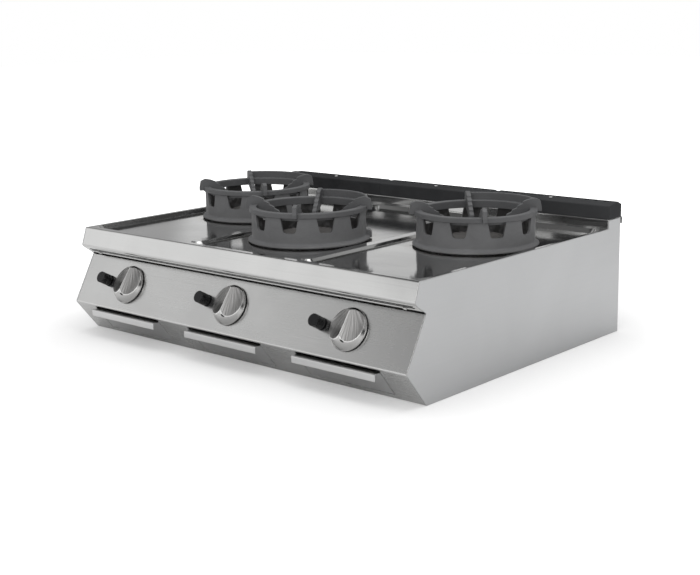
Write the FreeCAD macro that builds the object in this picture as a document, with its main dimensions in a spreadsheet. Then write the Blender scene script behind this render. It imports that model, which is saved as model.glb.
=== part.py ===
import FreeCAD, Part
import math
import os
import re
import Sketcher

# Countertop wok range with three gas burners, in millimetres.
# X runs to the right, Y to the back, Z up. The origin is on the bench, under the middle of the range.

Vector = FreeCAD.Vector
doc = FreeCAD.newDocument("wok_range")

# ---------------------------------------------------------------- driving dimensions

SIZES = {
    "width": 900,  # overall width over the side panels
    "deck_height": 218,  # height of the deck's rim over the bench
    "casing_sheet": 1.5,  # sheet thickness of the casing
    "seam_gap": 0.5,  # gap where two sheets meet side by side
    "rest_gap": 0.3,  # clearance under a piece that only lies in place

    "deck_front": 308,  # distance of the nose's top edge in front of the origin
    "nose_drop": 37.5,  # height of the nose's face
    "nose_lean": 13,  # forward lean of the nose's face
    "nose_return_run": 29,  # depth from the nose's lip back to the control panel
    "nose_return_drop": 20.5,  # drop from the nose's lip to the top of the control panel
    "nose_return_length": 29,  # length of the sheet turned back under the nose
    "nose_lip_radius": 6,  # outer radius of the nose's lip
    "nose_edge_radius": 3,  # outer radius of the nose's top edge

    "panel_length": 109,  # length of the control panel along its slope
    "panel_tilt": 29,  # lean of the control panel from upright, in degrees
    "panel_bend_radius": 4,  # outer radius of the bend under the control panel
    "panel_flange": 14,  # depth of the panel's top and bottom flanges
    "foot_front": 292.5,  # distance of the panel's foot in front of the origin

    "body_back": 340.5,  # distance of the back panel behind the origin
    "upstand_front": 296,  # distance of the upstand behind the origin
    "upstand_height": 19,  # height of the upstand over the deck's rim
    "rear_edge": 352,  # distance of the worktop's rear edge behind the origin
    "rear_edge_drop": 14.5,  # height of the worktop's turned-down rear edge
    "side_flange": 15,  # width of the side panels' inner flanges

    "well_side_rim": 10,  # width of the deck's rim at each side
    "well_front_rim": 13,  # width of the deck's rim in front of the well
    "well_back_rim": 12,  # width of the deck's rim behind the well
    "well_depth": 9,  # depth of the pressed well
    "well_wall_angle": 40,  # slope of the well's walls from upright, in degrees
    "well_corner_radius": 26,  # corner radius of the well at the rim
    "rib_place": 150,  # distance of each pressed rib from the middle
    "rib_width": 32,  # width of a rib at its foot
    "rib_height": 5.5,  # height of a rib over the well's floor
    "rib_front_gap": 18,  # free length of the well in front of a rib
    "rib_back_overlap": 3,  # run of a rib into the well's back wall
    "burner_hole_radius": 70,  # radius of the burner opening in the deck
    "collar_width": 3,  # width of the raised collar round the burner opening
    "collar_height": 4,  # height of that collar over the well's floor

    "burner_pitch": 300,  # distance between neighbouring burners across the range
    "side_burner_place": 52,  # distance of the outer burners behind the origin
    "middle_burner_place": -97,  # distance of the middle burner behind the origin

    "flange_radius": 122,  # outer radius of the chamber ring's flange
    "flange_lift": 2.2,  # gap between the flange and the ring's standing edge
    "flange_thickness": 2.6,  # edge height of the chamber ring's flange
    "flare_height": 9.5,  # height at which the flange's flare meets the wall
    "ring_lug_reach": 125,  # radius of the chamber ring's lug
    "ring_lug_width": 18,  # width of the chamber ring's lug
    "ring_lug_height": 17,  # height of the chamber ring's lug
    "chamber_radius": 114.5,  # outer radius of the chamber ring's wall
    "chamber_wall": 5.5,  # thickness of the chamber ring's wall
    "chamber_height": 59.5,  # height of the chamber ring
    "window_count": 10,  # windows round the chamber ring
    "window_head_width": 36,  # width of a window at the ring's top
    "window_sill_width": 24,  # width of a window at its sill
    "window_sill_height": 30,  # height of a window's sill over the ring's foot
    "window_corner_radius": 6,  # radius of a window's lower corners
    "side_ring_turn": 200.5,  # turn of the outer chamber rings' lugs from the front, in degrees
    "middle_ring_turn": 132,  # turn of the middle chamber ring's lug from the front, in degrees

    "band_radius": 118,  # outer radius of the pan support's band
    "band_inner_radius": 104,  # inner radius of the pan support's band
    "band_height": 9.5,  # height of the band over the chamber ring
    "spigot_depth": 5.5,  # depth of the band's spigot inside the chamber ring
    "spigot_clearance": 0.7,  # radial clearance of that spigot
    "guard_height": 24.5,  # height of the wind guard over the chamber ring
    "guard_thickness": 5,  # thickness of the wind guard
    "prong_thickness": 8.5,  # thickness of a prong
    "prong_reach": 127.5,  # radius of a prong's outer tip
    "prong_heel_height": 1.5,  # height of the prong's outer heel over the chamber ring
    "prong_tip_height": 22.5,  # height of the prong's outer tip over the chamber ring
    "prong_crown_radius": 114.5,  # radius of the prong's highest point
    "prong_crown_height": 27,  # height of the prong's highest point
    "slope_start_radius": 101,  # radius where the prong's slope starts
    "slope_start_height": 24.5,  # height where the prong's slope starts
    "slope_end_radius": 49,  # radius where the prong's slope ends
    "slope_end_height": -15,  # height where the prong's slope ends
    "prong_nose_depth": 8,  # depth of the prong's inner end
    "tooth_count": 5,  # teeth along a prong's slope
    "tooth_depth": 2.2,  # depth of a tooth
    "left_support_turn": 54,  # turn of the left pan support, in degrees
    "middle_support_turn": 31,  # turn of the middle pan support, in degrees
    "right_support_turn": 44,  # turn of the right pan support, in degrees

    "bowl_radius": 60,  # outer radius of the burner bowl's mouth
    "bowl_wall": 5,  # wall thickness of the burner bowl
    "bowl_depth": 40,  # height of the burner bowl
    "bowl_foot_radius": 34,  # radius of the burner bowl's foot
    "bowl_top_drop": 3,  # distance of the bowl's mouth below the deck's underside
    "mixer_radius": 17,  # outer radius of the mixing tube
    "mixer_wall": 3.5,  # wall thickness of the mixing tube
    "side_mixer_reach": 210,  # length of the outer burners' mixing tubes from the burner's axis
    "middle_mixer_reach": 85,  # length of the middle burner's mixing tube from its axis
    "lug_reach": 72,  # reach of the bowl's electrode lug from the burner's axis
    "lug_width": 14,  # width of the electrode lug
    "lug_thickness": 5,  # thickness of the electrode lug
    "crown_radius": 58,  # outer radius of the burner crown
    "crown_wall": 9,  # width of the crown's ported wall
    "crown_height": 20,  # height of the burner crown over the bowl
    "crown_spigot": 4,  # depth of the crown's spigot inside the bowl
    "crown_clearance": 0.3,  # radial clearance of the crown's spigot
    "port_count": 24,  # flame ports round the crown
    "port_width": 3,  # width of a flame port
    "port_depth": 6,  # depth of a flame port below the crown's top
    "carrier_width": 44,  # width of the strap under a burner
    "carrier_reach": 88,  # half length of that strap
    "carrier_flange": 16,  # length of the strap's upper flanges
    "carrier_sheet": 2,  # thickness of the strap
    "electrode_radius": 3.5,  # radius of the spark electrode's insulator
    "electrode_wire_radius": 1,  # radius of the electrode's wire
    "electrode_length": 34,  # length of the electrode's insulator
    "electrode_tip": 9,  # length of the electrode's bare wire
    "electrode_clearance": 0.1,  # radial clearance of the electrode in its lug

    "control_place": 52.5,  # distance of the controls down the panel's slope
    "knob_radius": 39.5,  # radius of the knob's skirt
    "knob_lift": 2.5,  # gap between the control panel and the knob
    "knob_skirt": 3,  # thickness of the skirt's edge
    "knob_top_radius": 29,  # radius where the knob's side and top would meet without their curve
    "knob_height": 22,  # height of the knob over the control panel
    "knob_crown_radius": 26,  # radius of the curve between the knob's side and top
    "ridge_height": 20.3,  # height of the grip's ridge over the control panel, at the knob's axis
    "scoop_radius": 120,  # radius of the scoop at each side of the ridge
    "scoop_depth": 10.2,  # height of the scoops' lowest line over the control panel, at the same place
    "scoop_tilt": 8,  # slope of the scoops and the ridge, in degrees; they run out at the heel
    "knob_cavity_radius": 27,  # radius of the hollow under the knob
    "knob_cavity_height": 9,  # height of that hollow's roof over the control panel
    "knob_hub_radius": 8,  # radius of the hub inside that hollow
    "spindle_radius": 4,  # radius of the valve spindle
    "spindle_clearance": 0.05,  # radial clearance round the spindle
    "spindle_reach": 13.5,  # reach of the spindle in front of the control panel
    "spindle_depth": 30,  # depth of the spindle behind the control panel
    "knob_travel": 2,  # push travel of the knob
    "spindle_hole_radius": 6,  # radius of the panel's hole for the spindle

    "valve_radius": 15,  # radius of the gas valve's body
    "valve_length": 44,  # length of the gas valve's body
    "valve_outlet_place": 30,  # distance of the valve's outlet behind the panel
    "valve_outlet_radius": 7,  # radius of the valve's outlet boss
    "valve_outlet_reach": 20,  # reach of the valve's outlet boss from its axis
    "valve_inlet_radius": 6,  # radius of the valve's inlet stub
    "manifold_radius": 10.5,  # outer radius of the gas manifold
    "manifold_wall": 2.5,  # wall thickness of the gas manifold
    "manifold_overhang": 40,  # length of the manifold past its outer left valve
    "inlet_place": 400,  # distance of the inlet pipe right of the middle
    "elbow_size": 30,  # edge length of the elbow block
    "inlet_radius": 10.5,  # outer radius of the inlet pipe's threaded end
    "inlet_pipe_radius": 12,  # outer radius of the inlet pipe inside the casing
    "inlet_hole_clearance": 1,  # radial clearance of the inlet in the back panel
    "tube_radius": 4,  # outer radius of a supply tube
    "tube_wall": 1,  # wall thickness of a supply tube
    "tube_bend_radius": 20,  # centre-line radius of the supply tube's bend
    "injector_radius": 7,  # radius of the injector's body
    "injector_length": 18,  # length of the injector's body
    "injector_orifice_radius": 1.2,  # radius of the injector's orifice
    "injector_gap": 6,  # air gap between the injector and the mixing tube
    "clamp_place": 144,  # distance of each manifold clamp from the middle
    "clamp_width": 20,  # width of a manifold clamp
    "clamp_sheet": 2,  # thickness of a manifold clamp

    "igniter_offset": 63,  # distance of the igniter left of its knob
    "igniter_radius": 8.5,  # radius of the igniter's neck
    "igniter_body_radius": 11,  # radius of the igniter's body behind the panel
    "igniter_depth": 34,  # depth of the igniter behind the panel
    "igniter_neck_reach": 12,  # reach of the igniter's neck in front of the panel
    "igniter_nut_radius": 12,  # radius over the igniter's nut
    "igniter_nut_height": 3,  # height of the igniter's nut
    "button_radius": 11.6,  # radius of the igniter's button
    "button_height": 28.5,  # height of the button over the control panel
    "button_start": 7.5,  # height of the button's skirt over the control panel
    "button_bore_radius": 9.2,  # bore of the button's skirt
    "button_stem_radius": 3.5,  # radius of the button's stem
    "button_stem_clearance": 0.1,  # radial clearance round the button's stem
    "button_stem_depth": 8,  # depth of the button's stem behind the panel
    "button_travel": 4,  # push travel of the button
    "groove_count": 4,  # grip grooves round the button
    "groove_width": 1.6,  # width of a grip groove
    "groove_depth": 0.8,  # depth of a grip groove
    "groove_pitch": 4,  # distance between grip grooves

    "tray_pitch": 288,  # distance between neighbouring drip trays
    "tray_width": 196,  # width of a drip tray's front
    "tray_gap": 1.5,  # gap between a tray's front and its opening
    "tray_slot": 6.2,  # height of the open slot over a tray's front, along the panel's slope
    "tray_front_top": 9.7,  # distance of the tray's front down the lower panel, at its top
    "tray_front_foot": 70,  # distance of the tray's front down the lower panel, at its foot
    "tray_back": 300,  # distance of the tray's back wall behind the origin
    "tray_sheet": 1.2,  # sheet thickness of a tray
    "tray_corner_radius": 2,  # outer corner radius of the tray's front
    "pull_reach": 352,  # distance of the tray's finger pull in front of the origin
    "pull_height": 13.5,  # height of the finger pull's strip
    "pull_radius": 2.5,  # outer bend radius of the finger pull
    "runner_inset": 8,  # distance of a runner in from the tray's side
    "runner_width": 12,  # width of a runner
    "runner_back_gap": 20,  # distance of the runners' ends in front of the back panel
    "tie_width": 30,  # width of the plates that tie two rails together
    "runner_stop_height": 20,  # height of the stop behind a tray
    "runner_stop_gap": 4,  # distance of the stop behind the closed tray

    "grille_count": 3,  # pieces of the flue cover
    "grille_seam": 0.6,  # gap between two pieces of the flue cover
    "grille_height": 30.5,  # height of the flue cover over the upstand
    "grille_front_inset": 1,  # distance of the flue cover behind the upstand's face
    "grille_depth": 46.5,  # depth of the flue cover
    "grille_wall": 5,  # wall thickness of the flue cover
    "grille_slope_drop": 3.5,  # drop of the flue cover's top towards its front
    "grille_slope_run": 24,  # depth over which the flue cover's top drops
    "grille_edge_radius": 2.5,  # radius of the flue cover's long top edges
    "notch_width": 8.5,  # width of the notch at each end of the flue cover's back edge
    "notch_depth": 4.5,  # depth of that notch
    "notch_reach": 12,  # reach of that notch from the cover's back
    "grille_boss_radius": 7,  # radius of the screw boss inside the flue cover
    "slot_count": 12,  # vent slots in each piece of the flue cover
    "slot_width": 8,  # width of a vent slot
    "slot_length": 14,  # length of a vent slot
    "slot_pitch": 22,  # distance between vent slots
    "slot_back_inset": 12,  # distance of the slots' middle in front of the cover's back
    "duct_slot_length": 220,  # length of the duct opening under each flue cover
    "duct_slot_width": 26,  # width of the duct opening under each flue cover
    "grille_screw_inset": 19,  # distance of the cover's screw behind its front face

    "screw_head_radius": 4,  # radius of a screw's head
    "screw_head_height": 2.4,  # height of a screw's head
    "screw_shank_radius": 2,  # radius of a screw's shank
    "screw_shank_length": 8,  # length of a screw's shank
    "screw_hole_clearance": 0.2,  # radial clearance of a screw in its hole
    "nose_screw_inset": 38,  # distance of the nose's screws in from the side
    "nose_screw_place": 24,  # distance of the nose's screws back from the lip
    "back_screw_inset": 20,  # distance of the back panel's screws from its edges
    "shield_place": 220,  # distance of the heat shield in front of the origin
    "shield_base": 66,  # height of the heat shield's lower edge
    "shield_flange": 12,  # width of the heat shield's flanges
    "shield_hole_clearance": 3,  # radial clearance of a tube in the heat shield
    "vent_count": 14,  # vent slots in the back panel
    "vent_width": 6,  # width of a back vent slot
    "vent_length": 50,  # length of a back vent slot
    "vent_pitch": 40,  # distance between back vent slots
    "vent_height": 150,  # height of the back vent slots' middle
}

sizes = doc.addObject("Spreadsheet::Sheet", "Dimensions")
for row, (name, amount) in enumerate(SIZES.items(), 1):
    sizes.set("A%d" % row, name)
    sizes.set("B%d" % row, str(amount))
    sizes.setAlias("B%d" % row, name)
doc.recompute()


# ---------------------------------------------------------------- expressions

def bound(text):
    """An expression with each driving dimension named in full."""
    return re.sub(r"\b([a-z]+(?:_[a-z]+)*)\b", name_in_full, text)


def name_in_full(match):
    word = match.group(1)
    return "Dimensions." + word if word in SIZES else word


def value(text):
    """The number that an expression gives now, used for first positions only."""
    return float(sizes.evalExpression(bound(text)))


def bind(thing, target, text):
    """Ties a property of an object to an expression."""
    thing.setExpression(target, bound(text))


# Places worked out from the driving dimensions, as expressions.
HALF_INSIDE = "(width / 2 - casing_sheet)"
FLOOR = "(deck_height - well_depth)"
DECK_UNDERSIDE = "(deck_height - well_depth - casing_sheet)"
NOSE_LIP_Y = "(-deck_front - nose_lean)"
NOSE_LIP_Z = "(deck_height - nose_drop)"
RETURN_LENGTH = "hypot(nose_return_run; nose_return_drop)"
PANEL_TOP_Y = "(-deck_front - nose_lean + nose_return_run)"
PANEL_TOP_Z = "(deck_height - nose_drop - nose_return_drop)"
PANEL_FOOT_Y = "(%s - panel_length * sin(panel_tilt * 1 deg))" % PANEL_TOP_Y
PANEL_FOOT_Z = "(%s - panel_length * cos(panel_tilt * 1 deg))" % PANEL_TOP_Z
LOWER_RUN = "(-foot_front - %s)" % PANEL_FOOT_Y
LOWER_LENGTH = "hypot(%s; %s)" % (LOWER_RUN, PANEL_FOOT_Z)
LOWER_TILT = "(atan(%s / %s) / 1 deg)" % (LOWER_RUN, PANEL_FOOT_Z)
UPSTAND_TOP = "(deck_height + upstand_height)"
BASE_TOP = "(2 * casing_sheet)"
BOWL_TOP = "(%s - bowl_top_drop)" % DECK_UNDERSIDE
BOWL_FOOT = "(%s - bowl_depth)" % BOWL_TOP
MIXER_Z = "(%s + mixer_radius)" % BOWL_FOOT
TRAY_FOOT_Z = "(%s * (1 - tray_front_foot / %s))" % (PANEL_FOOT_Z, LOWER_LENGTH)
TRAY_FOOT_Y = "(%s + %s * tray_front_foot / %s)" % (PANEL_FOOT_Y, LOWER_RUN, LOWER_LENGTH)
TRAY_TOP_Z = "(%s * (1 - tray_front_top / %s))" % (PANEL_FOOT_Z, LOWER_LENGTH)
TRAY_TOP_Y = "(%s + %s * tray_front_top / %s)" % (PANEL_FOOT_Y, LOWER_RUN, LOWER_LENGTH)
MANIFOLD_T = "(casing_sheet + valve_length + manifold_radius)"
MANIFOLD_Y = "(%s - control_place * sin(panel_tilt * 1 deg) + %s * cos(panel_tilt * 1 deg))" % (
    PANEL_TOP_Y, MANIFOLD_T)
MANIFOLD_Z = "(%s - control_place * cos(panel_tilt * 1 deg) - %s * sin(panel_tilt * 1 deg))" % (
    PANEL_TOP_Z, MANIFOLD_T)
GRILLE_PITCH = "(width / grille_count)"
GRILLE_FRONT = "(upstand_front + grille_front_inset)"


# ---------------------------------------------------------------- sketches

def origin_part(body, role):
    """A body's own origin plane or axis."""
    return [part for part in body.Origin.OriginFeatures if part.Role == role][0]


def new_body(label):
    body = doc.addObject("PartDesign::Body", label)
    body.Label = label
    return body


def sketch_on(body, role, lift="0"):
    """A sketch on one of the body's origin planes, lifted along the plane's normal."""
    sketch = body.newObject("Sketcher::SketchObject", body.Name + "_sketch")
    sketch.AttachmentSupport = (origin_part(body, role), [""])
    sketch.MapMode = "FlatFace"
    bind(sketch, "AttachmentOffset.Base.z", lift)
    return sketch


def aim(thing, target, x, y, z, tilt):
    """Puts a placement at x, y, z, turned about X by the tilt in degrees."""
    turn = FreeCAD.Rotation(Vector(1, 0, 0), value(tilt))
    setattr(thing, target, FreeCAD.Placement(Vector(0, 0, 0), turn))
    bind(thing, target + ".Base.x", x)
    bind(thing, target + ".Base.y", y)
    bind(thing, target + ".Base.z", z)
    bind(thing, target + ".Rotation.Angle", tilt)


def aim_at_panel(thing, target, x, down, out="0"):
    """Puts a placement on the control panel: Z along its normal, Y up its slope."""
    y = "%s - (%s) * sin(panel_tilt * 1 deg) - (%s) * cos(panel_tilt * 1 deg)" % (PANEL_TOP_Y, down, out)
    z = "%s - (%s) * cos(panel_tilt * 1 deg) + (%s) * sin(panel_tilt * 1 deg)" % (PANEL_TOP_Z, down, out)
    aim(thing, target, x, y, z, "90 - panel_tilt")


def fix(sketch, geometry, corner, x, y):
    """Fixes a sketch point at x, y, both expressions."""
    for kind, text in (("DistanceX", x), ("DistanceY", y)):
        index = sketch.addConstraint(Sketcher.Constraint(kind, -1, 1, geometry, corner, value(text)))
        bind(sketch, "Constraints[%d]" % index, text)


def outline(sketch, corners):
    """A closed outline through corners (x, y) or (x, y, radius), given as expressions."""
    points = [Vector(value(corner[0]), value(corner[1]), 0) for corner in corners]
    rounds = [corner[2] if len(corner) > 2 else None for corner in corners]
    count = len(corners)
    trims = [trim_at(points, rounds, index) for index in range(count)]
    lines = []
    for index in range(count):
        after = (index + 1) % count
        way = (points[after] - points[index]).normalize()
        start = points[index] + way * trims[index]
        end = points[after] - way * trims[after]
        lines.append(sketch.addGeometry(Part.LineSegment(start, end), False))
    for index in range(count):
        if rounds[index] is None:
            sketch.addConstraint(Sketcher.Constraint("Coincident", lines[index - 1], 2, lines[index], 1))
            fix(sketch, lines[index], 1, corners[index][0], corners[index][1])
        else:
            round_corner(sketch, lines[index - 1], lines[index], points, index, trims[index],
                         corners[index])


def trim_at(points, rounds, index):
    """How much a rounded corner takes off the lines that meet in it."""
    if rounds[index] is None:
        return 0
    before = points[index - 1] - points[index]
    after = points[(index + 1) % len(points)] - points[index]
    return value(rounds[index]) / math.tan(before.getAngle(after) / 2)


def round_corner(sketch, line_in, line_out, points, index, trim, corner):
    """An arc tangent to both lines of a corner, with the corner itself kept as a fixed point."""
    here = points[index]
    inward = (points[index - 1] - here).normalize()
    outward = (points[(index + 1) % len(points)] - here).normalize()
    radius = value(corner[2])
    middle = (inward + outward).normalize()
    centre = here + middle * (radius / math.sin(inward.getAngle(outward) / 2))
    start, end = here + inward * trim, here + outward * trim
    left_turn = inward.cross(outward).z < 0
    first, last = (start, end) if left_turn else (end, start)
    angles = [math.atan2(point.y - centre.y, point.x - centre.x) for point in (first, last)]
    circle = Part.Circle(centre, Vector(0, 0, 1), radius)
    arc = sketch.addGeometry(Part.ArcOfCircle(circle, angles[0], angles[1]), False)
    entry, leave = (1, 2) if left_turn else (2, 1)
    sketch.addConstraint(Sketcher.Constraint("Tangent", line_in, 2, arc, entry))
    sketch.addConstraint(Sketcher.Constraint("Tangent", arc, leave, line_out, 1))
    index = sketch.addConstraint(Sketcher.Constraint("Radius", arc, radius))
    bind(sketch, "Constraints[%d]" % index, corner[2])
    point = sketch.addGeometry(Part.Point(here), True)
    sketch.addConstraint(Sketcher.Constraint("PointOnObject", point, 1, line_in))
    sketch.addConstraint(Sketcher.Constraint("PointOnObject", point, 1, line_out))
    fix(sketch, point, 1, corner[0], corner[1])


def rectangle(sketch, x0, y0, x1, y1, radius=None):
    """A rectangle between two corners, with rounded corners where a radius is given."""
    corners = [(x0, y0), (x1, y0), (x1, y1), (x0, y1)]
    if radius is not None:
        corners = [corner + (radius,) for corner in corners]
    outline(sketch, corners)


def circle(sketch, x, y, radius):
    shape = Part.Circle(Vector(value(x), value(y), 0), Vector(0, 0, 1), value(radius))
    index = sketch.addGeometry(shape, False)
    fix(sketch, index, 3, x, y)
    constraint = sketch.addConstraint(Sketcher.Constraint("Radius", index, value(radius)))
    bind(sketch, "Constraints[%d]" % constraint, radius)


def folded_sheet(sketch, corners, thickness, side):
    """The section of a folded sheet: its outer line's corners, and its thickness to one side."""
    points = [Vector(value(x), value(y), 0) for x, y in corners]
    depth = value(thickness)
    inner = []
    for index, point in enumerate(points):
        meeting = [edge for edge in (index - 1, index) if 0 <= edge < len(points) - 1]
        normals = [side_normal(points, edge, side) for edge in meeting]
        total = normals[0] + normals[-1]
        inner.append(point + total * (2 * depth / total.dot(total)))
    outer_lines, inner_lines = [], []
    for index in range(len(points) - 1):
        outer_lines.append(sketch.addGeometry(Part.LineSegment(points[index], points[index + 1]), False))
        inner_lines.append(sketch.addGeometry(Part.LineSegment(inner[index], inner[index + 1]), False))
    for index, (x, y) in enumerate(corners):
        line, end = (outer_lines[index], 1) if index < len(outer_lines) else (outer_lines[-1], 2)
        fix(sketch, line, end, x, y)
    for lines in (outer_lines, inner_lines):
        for before, after in zip(lines, lines[1:]):
            sketch.addConstraint(Sketcher.Constraint("Coincident", before, 2, after, 1))
    for outer, inside in zip(outer_lines, inner_lines):
        sketch.addConstraint(Sketcher.Constraint("Parallel", outer, inside))
        index = sketch.addConstraint(Sketcher.Constraint("Distance", inside, 1, outer, depth))
        bind(sketch, "Constraints[%d]" % index, thickness)
    ends = ((outer_lines[0], inner_lines[0], 1), (outer_lines[-1], inner_lines[-1], 2))
    for outer, inside, end in ends:
        first = sketch.Geometry[outer]
        second = sketch.Geometry[inside]
        here = first.StartPoint if end == 1 else first.EndPoint
        there = second.StartPoint if end == 1 else second.EndPoint
        cap = sketch.addGeometry(Part.LineSegment(here, there), False)
        sketch.addConstraint(Sketcher.Constraint("Coincident", cap, 1, outer, end))
        sketch.addConstraint(Sketcher.Constraint("Coincident", cap, 2, inside, end))
        sketch.addConstraint(Sketcher.Constraint("Perpendicular", cap, outer))


def side_normal(points, edge, side):
    way = (points[edge + 1] - points[edge]).normalize()
    return Vector(-way.y * side, way.x * side, 0)


# ---------------------------------------------------------------- features

def pad(body, sketch, length, midplane=False, back=False, taper=None):
    feature = body.newObject("PartDesign::Pad", body.Name + "_pad")
    return extrude(feature, sketch, length, midplane, back, taper)


def pocket(body, sketch, length, midplane=False, back=False, taper=None):
    feature = body.newObject("PartDesign::Pocket", body.Name + "_pocket")
    return extrude(feature, sketch, length, midplane, back, taper)


def extrude(feature, sketch, length, midplane, back, taper):
    feature.Profile = sketch
    feature.Midplane = midplane
    feature.Reversed = back
    bind(feature, "Length", length)
    if taper is not None:
        bind(feature, "TaperAngle", taper)
    sketch.Visibility = False
    return feature


def revolve(body, sketch, angle="360"):
    """A turned piece about the sketch's vertical axis."""
    feature = body.newObject("PartDesign::Revolution", body.Name + "_turned")
    feature.Profile = sketch
    feature.ReferenceAxis = (sketch, ["V_Axis"])
    bind(feature, "Angle", angle)
    return feature


def polar(body, feature, count):
    """Copies of a feature round the body's Z axis."""
    pattern = body.newObject("PartDesign::PolarPattern", body.Name + "_round")
    pattern.Originals = [feature]
    pattern.Axis = (origin_part(body, "Z_Axis"), [""])
    pattern.Angle = 360
    bind(pattern, "Occurrences", count)
    body.Tip = pattern
    return pattern


def linear(body, feature, role, count, pitch):
    """Copies of a feature in a row along one of the body's axes."""
    pattern = body.newObject("PartDesign::LinearPattern", body.Name + "_row")
    pattern.Originals = [feature]
    pattern.Direction = (origin_part(body, role), [""])
    bind(pattern, "Occurrences", count)
    bind(pattern, "Length", "%s * (%s - 1)" % (pitch, count))
    body.Tip = pattern
    return pattern


def dress(body, kind, edges, radius):
    """A fillet or chamfer on the named edges of the body's newest feature."""
    base = body.Tip
    feature = body.newObject("PartDesign::" + kind, body.Name + "_" + kind.lower())
    feature.Base = (base, edges)
    bind(feature, "Radius" if kind == "Fillet" else "Size", radius)
    return feature


def edges_at(body, direction, test):
    """The straight edges along a direction whose middle passes a test."""
    doc.recompute()
    found = []
    for number, edge in enumerate(body.Shape.Edges):
        if not isinstance(edge.Curve, Part.Line):
            continue
        way = edge.Curve.Direction
        middle = edge.CenterOfMass
        if abs(abs(way.dot(direction)) - 1) < 1e-6 and test(middle):
            found.append("Edge%d" % (number + 1))
    return found


def near(middle, y, z, reach=0.05):
    """Whether a point has these y and z, both expressions."""
    return abs(middle.y - value(y)) < reach and abs(middle.z - value(z)) < reach


def place(thing, x="0", y="0", z="0", turn="0"):
    """Puts a body at x, y, z, turned about Z."""
    if turn != "0":
        about_z = FreeCAD.Rotation(Vector(0, 0, 1), value(turn))
        thing.Placement = FreeCAD.Placement(Vector(0, 0, 0), about_z)
        bind(thing, "Placement.Rotation.Angle", turn)
    bind(thing, "Placement.Base.x", x)
    bind(thing, "Placement.Base.y", y)
    bind(thing, "Placement.Base.z", z)


ALONG_X = Vector(1, 0, 0)
pieces = []


def done(piece):
    """Notes a finished sub-part."""
    pieces.append(piece)
    return piece


# ---------------------------------------------------------------- stations

GRILLE_SCREW_Y = "(%s + grille_screw_inset)" % GRILLE_FRONT
BACK_SCREWS = [(x, z) for x in ("(back_screw_inset - width / 2)", "0", "(width / 2 - back_screw_inset)")
               for z in ("back_screw_inset", "(deck_height - back_screw_inset)")]


def station(name, step, y, turn, ring_turn, mixer_reach):
    """Everything that sets one burner and its controls apart from the others."""
    x = "(%d * burner_pitch)" % step
    return {
        "name": name,
        "x": x,
        "y": y,
        "turn": turn,
        "ring_turn": ring_turn,
        "mixer_reach": mixer_reach,
        "tray_x": "(%d * tray_pitch)" % step,
        "igniter_x": "(%s - igniter_offset)" % x,
        "grille_x": "(%d * %s)" % (step, GRILLE_PITCH),
    }


STATIONS = [
    station("left", -1, "side_burner_place", "left_support_turn", "side_ring_turn",
            "side_mixer_reach"),
    station("middle", 0, "middle_burner_place", "middle_support_turn", "middle_ring_turn",
            "middle_mixer_reach"),
    station("right", 1, "side_burner_place", "right_support_turn", "side_ring_turn",
            "side_mixer_reach"),
]


# ---------------------------------------------------------------- casing

SEAM_X = "(%s - seam_gap)" % HALF_INSIDE
RETURN_TILT = "(180 - atan(nose_return_drop / nose_return_run) / 1 deg)"


def side_panel(label, hand):
    """A side panel with its inner flange; hand is -1 for the left one and 1 for the right one."""
    body = new_body(label)
    face = sketch_on(body, "YZ_Plane", "%d * width / 2" % hand)
    outline(face, [
        ("-deck_front", "deck_height"),
        (NOSE_LIP_Y, NOSE_LIP_Z, "nose_lip_radius"),
        (PANEL_TOP_Y, PANEL_TOP_Z),
        (PANEL_FOOT_Y, PANEL_FOOT_Z, "panel_bend_radius"),
        ("-foot_front", "0"),
        ("body_back", "0"),
        ("body_back", "%s - casing_sheet" % UPSTAND_TOP),
        ("upstand_front", "%s - casing_sheet" % UPSTAND_TOP),
        ("upstand_front", "deck_height"),
    ])
    pad(body, face, "casing_sheet", back=hand > 0)
    flange = sketch_on(body, "XY_Plane")
    inner = "%d * (%s - side_flange)" % (hand, HALF_INSIDE)
    outer = "%d * (width / 2 - casing_sheet / 2)" % hand
    ends = ("panel_flange + seam_gap - foot_front", "body_back - panel_flange - 2 * casing_sheet")
    first, last = (inner, outer) if hand > 0 else (outer, inner)
    rectangle(flange, first, ends[0], last, ends[1])
    pad(body, flange, "casing_sheet")
    return done(body)


def worktop():
    """The pressed worktop: nose, deck with its well, upstand and rear edge in one sheet."""
    body = new_body("worktop")
    section = sketch_on(body, "YZ_Plane")
    folded_sheet(section, [
        ("%s + nose_return_length * nose_return_run / %s" % (NOSE_LIP_Y, RETURN_LENGTH),
         "%s - nose_return_length * nose_return_drop / %s" % (NOSE_LIP_Z, RETURN_LENGTH)),
        (NOSE_LIP_Y, NOSE_LIP_Z),
        ("-deck_front", "deck_height"),
        ("upstand_front", "deck_height"),
        ("upstand_front", UPSTAND_TOP),
        ("rear_edge", UPSTAND_TOP),
        ("rear_edge", "%s - rear_edge_drop" % UPSTAND_TOP),
    ], "casing_sheet", -1)
    pad(body, section, "2 * %s" % SEAM_X, midplane=True)
    bends = [
        (NOSE_LIP_Y, NOSE_LIP_Z, "nose_lip_radius"),
        ("-deck_front", "deck_height", "nose_edge_radius"),
        ("upstand_front", UPSTAND_TOP, "nose_edge_radius"),
        ("rear_edge", UPSTAND_TOP, "nose_edge_radius"),
    ]
    round_bends(body, bends)
    press_well(body)
    press_ribs(body)
    for burner in STATIONS:
        open_burner_hole(body, burner)
    open_flue(body)
    for hand in (-1, 1):
        hole = sketch_on(body, "XY_Plane")
        aim(hole, "AttachmentOffset", "%d * (width / 2 - nose_screw_inset)" % hand,
            NOSE_LIP_Y, NOSE_LIP_Z, RETURN_TILT)
        circle(hole, "0", "-nose_screw_place", "screw_shank_radius + screw_hole_clearance")
        pocket(body, hole, "4 * casing_sheet", midplane=True)
    return done(body)


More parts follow.
